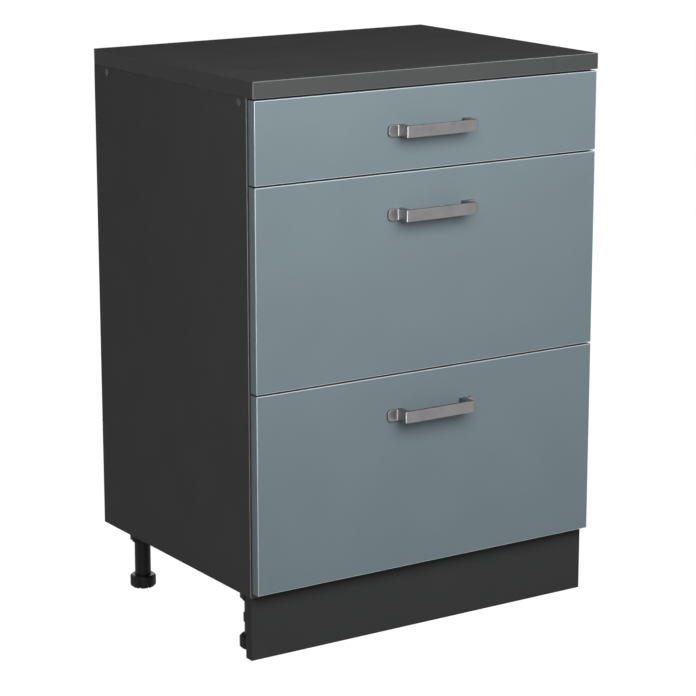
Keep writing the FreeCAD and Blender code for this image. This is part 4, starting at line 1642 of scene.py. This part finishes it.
@dataclass
class Handle:
    """One bow handle: a flat bar on two legs, with a screw tab beyond each leg."""

    frame: Frame
    level: str
    bar: float = 6 * MM
    leg: float = 10 * MM
    tab: float = 4 * MM
    bar_length: float = 123 * MM
    bar_round: float = 3 * MM
    tab_corner: float = 6 * MM
    inner_fillet: float = 2.2 * MM
    tab_fillet: float = 2.4 * MM
    arris: float = 0.7 * MM
    arris_steps: int = 3
    arc_steps: int = 8
    least_angle: float = math.radians(50)

    def _half_outline(self, span: float, reach: float) -> list[Point]:
        """The right half of the handle seen from above.

        Args:
            span: half the handle's length.
            reach: how far it stands out from the front.

        Returns:
            Points as (distance from the middle, distance from the front), from the bar's inner middle
            round to its outer middle.
        """
        end = self.bar_length / 2
        inner = end - self.leg
        grip = reach - self.bar
        steps = self.arc_steps
        points = [(0.0, grip)]
        points += arc((inner - self.inner_fillet, grip - self.inner_fillet), self.inner_fillet, 90, 0, steps)
        points += [(inner, 0.0), (span, 0.0), (span, self.tab)]
        points += arc((end + self.tab_fillet, self.tab + self.tab_fillet), self.tab_fillet, 270, 180, steps)
        points += arc((end - self.bar_round, reach - self.bar_round), self.bar_round, 0, 90, steps)
        points += [(0.0, reach)]
        return points

    def build(self) -> None:
        """Make the handle in its node's place."""
        node = f"{self.level}_handle"
        low, high = limits(node)
        span, reach = (high.x - low.x) / 2, high.y - low.y
        half = self._half_outline(span, reach)
        outline = half + [(-across, out) for across, out in reversed(half)][1:-1]
        mesh = bmesh.new()
        base = mesh.faces.new([mesh.verts.new((across, high.y - out, low.z)) for across, out in outline])
        raised = bmesh.ops.extrude_face_region(mesh, geom=[base])
        top = [item for item in raised["geom"] if isinstance(item, bmesh.types.BMVert)]
        bmesh.ops.translate(mesh, verts=top, vec=(0, 0, high.z - low.z))
        bmesh.ops.remove_doubles(mesh, verts=mesh.verts, dist=WELD)
        bmesh.ops.recalc_face_normals(mesh, faces=mesh.faces)
        corners = [edge for edge in mesh.edges if self._is_tab_corner(edge, span, high.y)]
        round_edges(mesh, corners, self.tab_corner, self.arc_steps)
        outer = [edge for edge in mesh.edges if self._is_outer(edge, high.y)]
        round_edges(mesh, outer, self.arris, self.arris_steps)
        body = self.frame.body_of[node]
        add_piece(f"{node}_bow", plain_mesh(mesh), [PALETTE.nickel], body, [node])

    def _is_tab_corner(self, edge: bmesh.types.BMEdge, span: float, front: float) -> bool:
        """Whether an edge is one of the four outer corners of the tabs.

        Args:
            edge: the edge.
            span: half the handle's length.
            front: where the drawer front's face lies along Y.

        Returns:
            True for a tab's corner.
        """
        one, other = (vert.co for vert in edge.verts)
        level = abs(one.z - other.z) < WELD
        at_end = all(abs(abs(end.x) - span) < WELD for end in (one, other))
        return level and at_end and min(one.y, other.y) > front - 2 * self.tab

    def _is_outer(self, edge: bmesh.types.BMEdge, front: float) -> bool:
        """Whether an edge turns outwards and lies clear of the drawer front.

        Args:
            edge: the edge.
            front: where the drawer front's face lies along Y.

        Returns:
            True for an edge that a hand can feel.
        """
        on_front = all(abs(vert.co.y - front) < WELD for vert in edge.verts)
        return edge.is_convex and edge.calc_face_angle(0) > self.least_angle and not on_front


@dataclass
class Drawer:
    """One drawer: its front, its box and its handle."""

    frame: Frame
    level: str
    arris: float = 0.4 * MM

    def build(self) -> None:
        """Dress the drawer's boards and make its handle. The front's solid has its rounded edges already."""
        front = dict.fromkeys(Facing, PALETTE.front)
        front[Facing.REAR] = PALETTE.front_inner
        # The fronts' top and under edges take painted shade.
        front[Facing.TOP] = front[Facing.UNDERSIDE] = PALETTE.front_painted_shade
        # The fronts' front-leaning arrises take a painted highlight.
        rounds = {"arris": 0, "painted_arris_highlight": PALETTE.front_painted_highlight}
        core = PALETTE.fibreboard
        Board(f"{self.level}_front", "front_lacquer", front, core, **rounds).dress(self.frame)
        laminate, band = PALETTE.drawer, PALETTE.drawer_band
        sides = {Facing.LEFT: laminate, Facing.RIGHT: laminate, Facing.TOP: band}
        back = {Facing.FRONT: laminate, Facing.REAR: laminate, Facing.TOP: band}
        for part, faces in (("left_side", sides), ("right_side", sides), ("box_back", back)):
            Board(f"{self.level}_{part}", "drawer_laminate", faces, arris=self.arris).dress(self.frame)
        base = {Facing.TOP: PALETTE.drawer_base}
        core = PALETTE.hardboard
        Board(f"{self.level}_box_base", "drawer_base_board", base, core, arris=0).dress(self.frame)
        Handle(self.frame, self.level).build()


@dataclass
class Fasteners:
    """What holds the boards together, with caps and bumpers, stood where the frame's loose solids are."""

    frame: Frame
    cap_height: float = 0.8 * MM
    bumper_height: float = 2 * MM
    worktop_screw: Span = (30 * MM, 4 * MM)
    runner_screw: Span = (13 * MM, 3.5 * MM)
    back_screw: Span = (35 * MM, 4 * MM)
    handle_screw: Span = (21.6 * MM, 4 * MM)
    rail_bolt: float = 45 * MM
    front_bolt: float = 35 * MM
    deep_cam: float = 12.5 * MM
    flat_cam: float = 9.5 * MM
    long_solid: float = 30 * MM
    tall_solid: float = 12 * MM

    @staticmethod
    def _side(island: Island) -> Vector:
        """The direction along X from the cabinet's middle towards the solid."""
        return Vector((math.copysign(1, island.centre.x), 0, 0))

    @staticmethod
    def _at_end(island: Island, aim: Vector) -> Place:
        """The place at the middle of a solid's face on the side that it aims to."""
        reach = abs(island.size.dot(aim)) / 2
        return Place(island.centre + aim * reach, aim)

    def _stand(self, name: str, kind: Turned, node: str, places: Sequence[Place]) -> None:
        """Make one kind of fastener at all its places.

        Args:
            name: the piece's name.
            kind: the fastener.
            node: the node that it stands for.
            places: where it stands.
        """
        mesh = outward(kind.mesh(places))
        add_piece(name, mesh, [], self.frame.body_of[node], [node])

    def _stand_all(self, kind: Turned, node: str, aim: Callable[[Island], Vector]) -> None:
        """Make one fastener for each solid of a node.

        Args:
            kind: the fastener.
            node: the node.
            aim: gives the way that a solid's head looks.
        """
        places = [self._at_end(island, aim(island)) for island in self.frame.islands(node)]
        self._stand(f"{node}_turned", kind, node, places)

    def build(self) -> None:
        """Make the fasteners of the carcass and of the three drawers."""
        steel, outwards = "fastener_steel", self._side

        def inwards(island: Island) -> Vector:
            """The direction along X from the solid towards the cabinet's middle."""
            return -self._side(island)

        def down(_: Island) -> Vector:
            """Straight down."""
            return Facing.UNDERSIDE.vector

        self._stand_all(confirmat_screw(), "rail_screws", outwards)
        self._stand_all(screw_cap(self.cap_height), "screw_caps", outwards)
        self._stand_all(wood_screw(*self.worktop_screw), "worktop_screws", down)
        self._stand_all(wood_screw(*self.runner_screw), "runner_screws", inwards)
        self._stand_all(cam_bolt(self.rail_bolt), "cam_bolts", inwards)
        self._stand_all(cam(self.deep_cam), "cam_housings", down)
        self._stand_all(dowel(), "dowels", outwards)
        self._stand_bumpers()
        for level in LEVELS:
            self._stand_drawer_fasteners(level)

    def _stand_bumpers(self) -> None:
        """Stick the bumpers on the front edges of the side panels."""
        aim = Facing.FRONT.vector
        islands = self.frame.islands("bumpers")
        places = [Place(island.centre - aim * island.size.y / 2, aim) for island in islands]
        self._stand("bumpers_domed", bumper(self.bumper_height), "bumpers", places)

    def _stand_drawer_fasteners(self, level: str) -> None:
        """Make a drawer's screws, cam bolts and cams.

        Args:
            level: which drawer.
        """
        node = f"{level}_fasteners"
        kinds: dict[str, list[Place]] = {"back_screws": [], "handle_screws": [], "cams": [], "cam_bolts": []}
        for island in self.frame.islands(node):
            size, side = island.size, self._side(island)
            if size.x > self.long_solid:
                kinds["back_screws"].append(self._at_end(island, side))
            elif size.y > self.long_solid:
                kinds["cam_bolts"].append(self._at_end(island, Facing.REAR.vector))
            elif size.z > self.tall_solid:
                kinds["cams"].append(self._at_end(island, side))
            else:
                kinds["handle_screws"].append(self._at_end(island, Facing.REAR.vector))
        shapes = {
            "back_screws": wood_screw(*self.back_screw),
            "handle_screws": machine_screw(*self.handle_screw),
            "cams": cam(self.flat_cam),
            "cam_bolts": cam_bolt(self.front_bolt),
        }
        for kind, places in kinds.items():
            self._stand(f"{level}_{kind}", shapes[kind], node, places)


@dataclass
class Runners:
    """The steel runners of one drawer and the plastic rollers that turn on their axles."""

    frame: Frame
    level: str

    def build(self) -> None:
        """Finish the steel and make the rollers."""
        for node in (f"{self.level}_cabinet_runners", f"{self.level}_drawer_profiles"):
            finish_node(self.frame, node, PALETTE.runner)
        for end in ("front", "rear"):
            node = f"{self.level}_{end}_rollers"
            islands = self.frame.islands(node)
            places = [Place(island.centre, Facing.RIGHT.vector) for island in islands]
            mesh = outward(self._roller(islands[0].size).mesh(places))
            add_piece(f"{node}_turned", mesh, [], self.frame.body_of[node], [node])

    @staticmethod
    def _roller(size: Vector) -> Turned:
        """One roller: a hub, a thinner web with a ring of it sunk on both sides, and a rounded tyre.

        Args:
            size: the solid's box, its width along X.

        Returns:
            The roller, its middle at the origin.
        """
        half, radius, bore = size.x / 2, size.y / 2, 2.55 * MM
        hub, rim, soft, taper, sunk = 4.3 * MM, radius - 1.8 * MM, 0.5 * MM, 0.4 * MM, 1.6 * MM
        side = [
            (bore, half),
            (hub, half),
            (hub + taper, half - sunk),
            (rim - taper, half - sunk),
            (rim, half),
            *arc((radius - soft, half - soft), soft, 90, 0, 4),
        ]
        profile = [(across, -along) for across, along in side] + side[::-1] + [(bore, -half)]
        return Turned(profile, PALETTE.nylon, sides=48)


@dataclass
class LevellingFeet:
    """The four feet: sockets, tubes and clips that stay, and threaded spindles with notched bases."""

    frame: Frame
    core: float = 4.1 * MM
    crest: float = 4.95 * MM
    pitch: float = 4 * MM
    base_top: float = 26 * MM
    base_length: float = 8 * MM
    axis_reach: float = 1 * MM
    skin: float = 0.2 * MM
    chamfer: float = 1 * MM
    chamfer_length: float = 1.5 * MM
    plain_ends: Span = (2 * MM, 1 * MM)

    def build(self) -> None:
        """Finish the fixed plastic and make the four spindles."""
        for node in ("foot_sockets", "leg_tubes", "plinth_clips"):
            finish_node(self.frame, node, PALETTE.black_plastic)
        for end in ("front", "rear"):
            for side in ("left", "right"):
                self._build_spindle(f"{end}_{side}_foot")
                finish_node(self.frame, f"{end}_{side}_glide", PALETTE.glide)

    def _build_spindle(self, node: str) -> None:
        """Make one spindle: the notched base with a thin stem, and the threaded stem round it.

        Args:
            node: the foot's node.
        """
        low, high = limits(node)
        middle = (low + high) / 2
        base = self.frame.copy(node)
        for vert in base.verts:
            across = Vector((vert.co.x - middle.x, vert.co.y - middle.y))
            if vert.co.z > self.base_top and across.length > self.axis_reach:
                slim = across * (self.core - self.skin) / across.length
                vert.co.x, vert.co.y = middle.x + slim.x, middle.y + slim.y
        body = self.frame.body_of[node]
        add_piece(f"{node}_base", plain_mesh(base), [PALETTE.black_plastic], body, [node])
        length = high.z - low.z - self.base_length
        above, below = self.plain_ends
        stem = Turned(
            [
                (0, -length),
                (self.core, -length),
                (self.core, -self.chamfer_length),
                (self.core - self.chamfer, 0),
                (0, 0),
            ],
            PALETTE.black_plastic,
            thread_radius=self.core,
            thread_rise=self.crest - self.core,
            thread_pitch=self.pitch,
            thread_length=length - above - below,
            thread_top=-above,
        )
        top = Place(Vector((middle.x, middle.y, high.z)), Facing.TOP.vector)
        add_piece(f"{node}_stem", outward(stem.mesh([top])), [], body)


# ---------------------------------------------------------------------------------------------------------
# Floor, light and camera
# ---------------------------------------------------------------------------------------------------------


@dataclass(frozen=True)
class Softbox:
    """A soft rectangular lamp."""

    name: str
    at: Triple
    target: Triple
    size: tuple[float, float]
    watts: float
    only_sheen: bool = False

    def build(self) -> None:
        """Hang the lamp; one that only gives sheen draws highlights and leaves matt faces alone."""
        lamp = bpy.data.lights.new(self.name, "AREA")
        lamp.shape = "RECTANGLE"
        lamp.size, lamp.size_y = self.size
        lamp.energy = self.watts
        holder = bpy.data.objects.new(self.name, lamp)
        bpy.context.scene.collection.objects.link(holder)
        holder.location = self.at
        holder.rotation_euler = (Vector(self.target) - Vector(self.at)).to_track_quat("-Z", "Y").to_euler()
        holder.visible_camera = False
        holder.visible_diffuse = not self.only_sheen


@dataclass(frozen=True)
class Studio:
    """A pale floor, an even white world and soft lamps."""

    floor_half: float = 14.0
    floor_colour: Colour = (0.36, 0.36, 0.36)
    floor_glow: float = 1.25
    floor_glow_share: float = 0.80
    fill: float = 0.15
    key: Softbox = Softbox(
        "key_softbox", at=(-0.22, -1.45, 1.42), target=(0, -0.2, 0.65), size=(2.2, 1.0), watts=32.5
    )
    strip: Softbox = Softbox(
        "left_strip",
        at=(-1.05, -1.0, 0.45),
        target=(0, -0.24, 0.6),
        size=(0.09, 1.0),
        watts=10.0,
        only_sheen=True,
    )
    rear: Softbox = Softbox(
        "rear_softbox", at=(1.5, 2.0, 1.3), target=(0, 0, 0.45), size=(1.8, 1.2), watts=40.0
    )

    def build(self) -> None:
        """Set up the floor, the world and the lamps."""
        self._lay_floor()
        self._light_world()
        for lamp in (self.key, self.strip, self.rear):
            lamp.build()

    @staticmethod
    def _seen_directly(graph: Graph) -> Wire:
        """Tell the rays that see a backdrop from those that only light something.

        Args:
            graph: the tree that the nodes go into.

        Returns:
            1 for a ray from the camera, or one that metal or glass sends on.
        """
        rays = graph.node("ShaderNodeLightPath")
        seen = graph.maths("MAXIMUM", graph.wire(rays, "Is Camera Ray"), graph.wire(rays, "Is Glossy Ray"))
        return graph.maths("MAXIMUM", seen, graph.wire(rays, "Is Transmission Ray"))

    def _lay_floor(self) -> None:
        """Lay the floor: pale grey to the lamps, white to the camera and where a gloss mirrors it."""
        half = self.floor_half
        mesh = bpy.data.meshes.new("studio_floor")
        corners = [(-half, -half, 0), (half, -half, 0), (half, half, 0), (-half, half, 0)]
        mesh.from_pydata(corners, [], [(0, 1, 2, 3)])
        material = bpy.data.materials.new("studio_floor")
        material.use_nodes = True
        graph = Graph(material.node_tree)
        graph.tree.nodes.clear()
        matt = graph.node("ShaderNodeBsdfDiffuse", {"Color": (*self.floor_colour, 1)})
        glow = graph.node("ShaderNodeEmission", {"Color": WHITE, "Strength": self.floor_glow})
        share = self._seen_directly(graph) * self.floor_glow_share
        sockets = {0: share, 1: matt.outputs["BSDF"], 2: glow.outputs["Emission"]}
        mixed = graph.node("ShaderNodeMixShader", sockets)
        graph.node("ShaderNodeOutputMaterial", {"Surface": mixed.outputs["Shader"]})
        mesh.materials.append(material)
        floor = bpy.data.objects.new("studio_floor", mesh)
        bpy.context.scene.collection.objects.link(floor)

    def _light_world(self) -> None:
        """Make the world white to the eye and dimmer as a light."""
        world = bpy.data.worlds.new("studio_world")
        world.use_nodes = True
        bpy.context.scene.world = world
        graph = Graph(world.node_tree)
        graph.tree.nodes.clear()
        dim, white = (
            graph.node("ShaderNodeBackground", {"Color": WHITE, "Strength": strength}).outputs["Background"]
            for strength in (self.fill, 1.0)
        )
        mixed = graph.node("ShaderNodeMixShader", {0: self._seen_directly(graph), 1: dim, 2: white})
        graph.node("ShaderNodeOutputWorld", {"Surface": mixed.outputs["Shader"]})


@dataclass(frozen=True)
class Viewpoint:
    """The photograph's camera: left of the cabinet and a little above it."""

    at: Triple = (-2.090, -3.169, 1.297)
    yaw: float = 33.38
    pitch: float = 13.5
    lens: float = 131.85
    sensor: float = 36.0

    def build(self) -> None:
        """Set up the camera."""
        camera = bpy.data.cameras.new("viewpoint")
        camera.lens = self.lens
        camera.sensor_width = self.sensor
        holder = bpy.data.objects.new("viewpoint", camera)
        bpy.context.scene.collection.objects.link(holder)
        holder.location = self.at
        holder.rotation_euler = (math.radians(90 - self.pitch), 0, math.radians(-self.yaw))
        bpy.context.scene.camera = holder


# ---------------------------------------------------------------------------------------------------------
# The whole scene
# ---------------------------------------------------------------------------------------------------------


def main() -> None:
    """Build the cabinet's pieces, the studio and the camera."""
    logging.basicConfig(level=logging.INFO, format="%(name)s: %(message)s")
    frame = Frame()
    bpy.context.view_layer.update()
    bpy.context.scene.view_settings.view_transform = "Standard"
    Viewpoint().build()
    Studio().build()
    Carcass(frame).build()
    for level in LEVELS:
        Drawer(frame, level).build()
        Runners(frame, level).build()
    Fasteners(frame).build()
    LevellingFeet(frame).build()


if __name__ == "__main__":
    main()
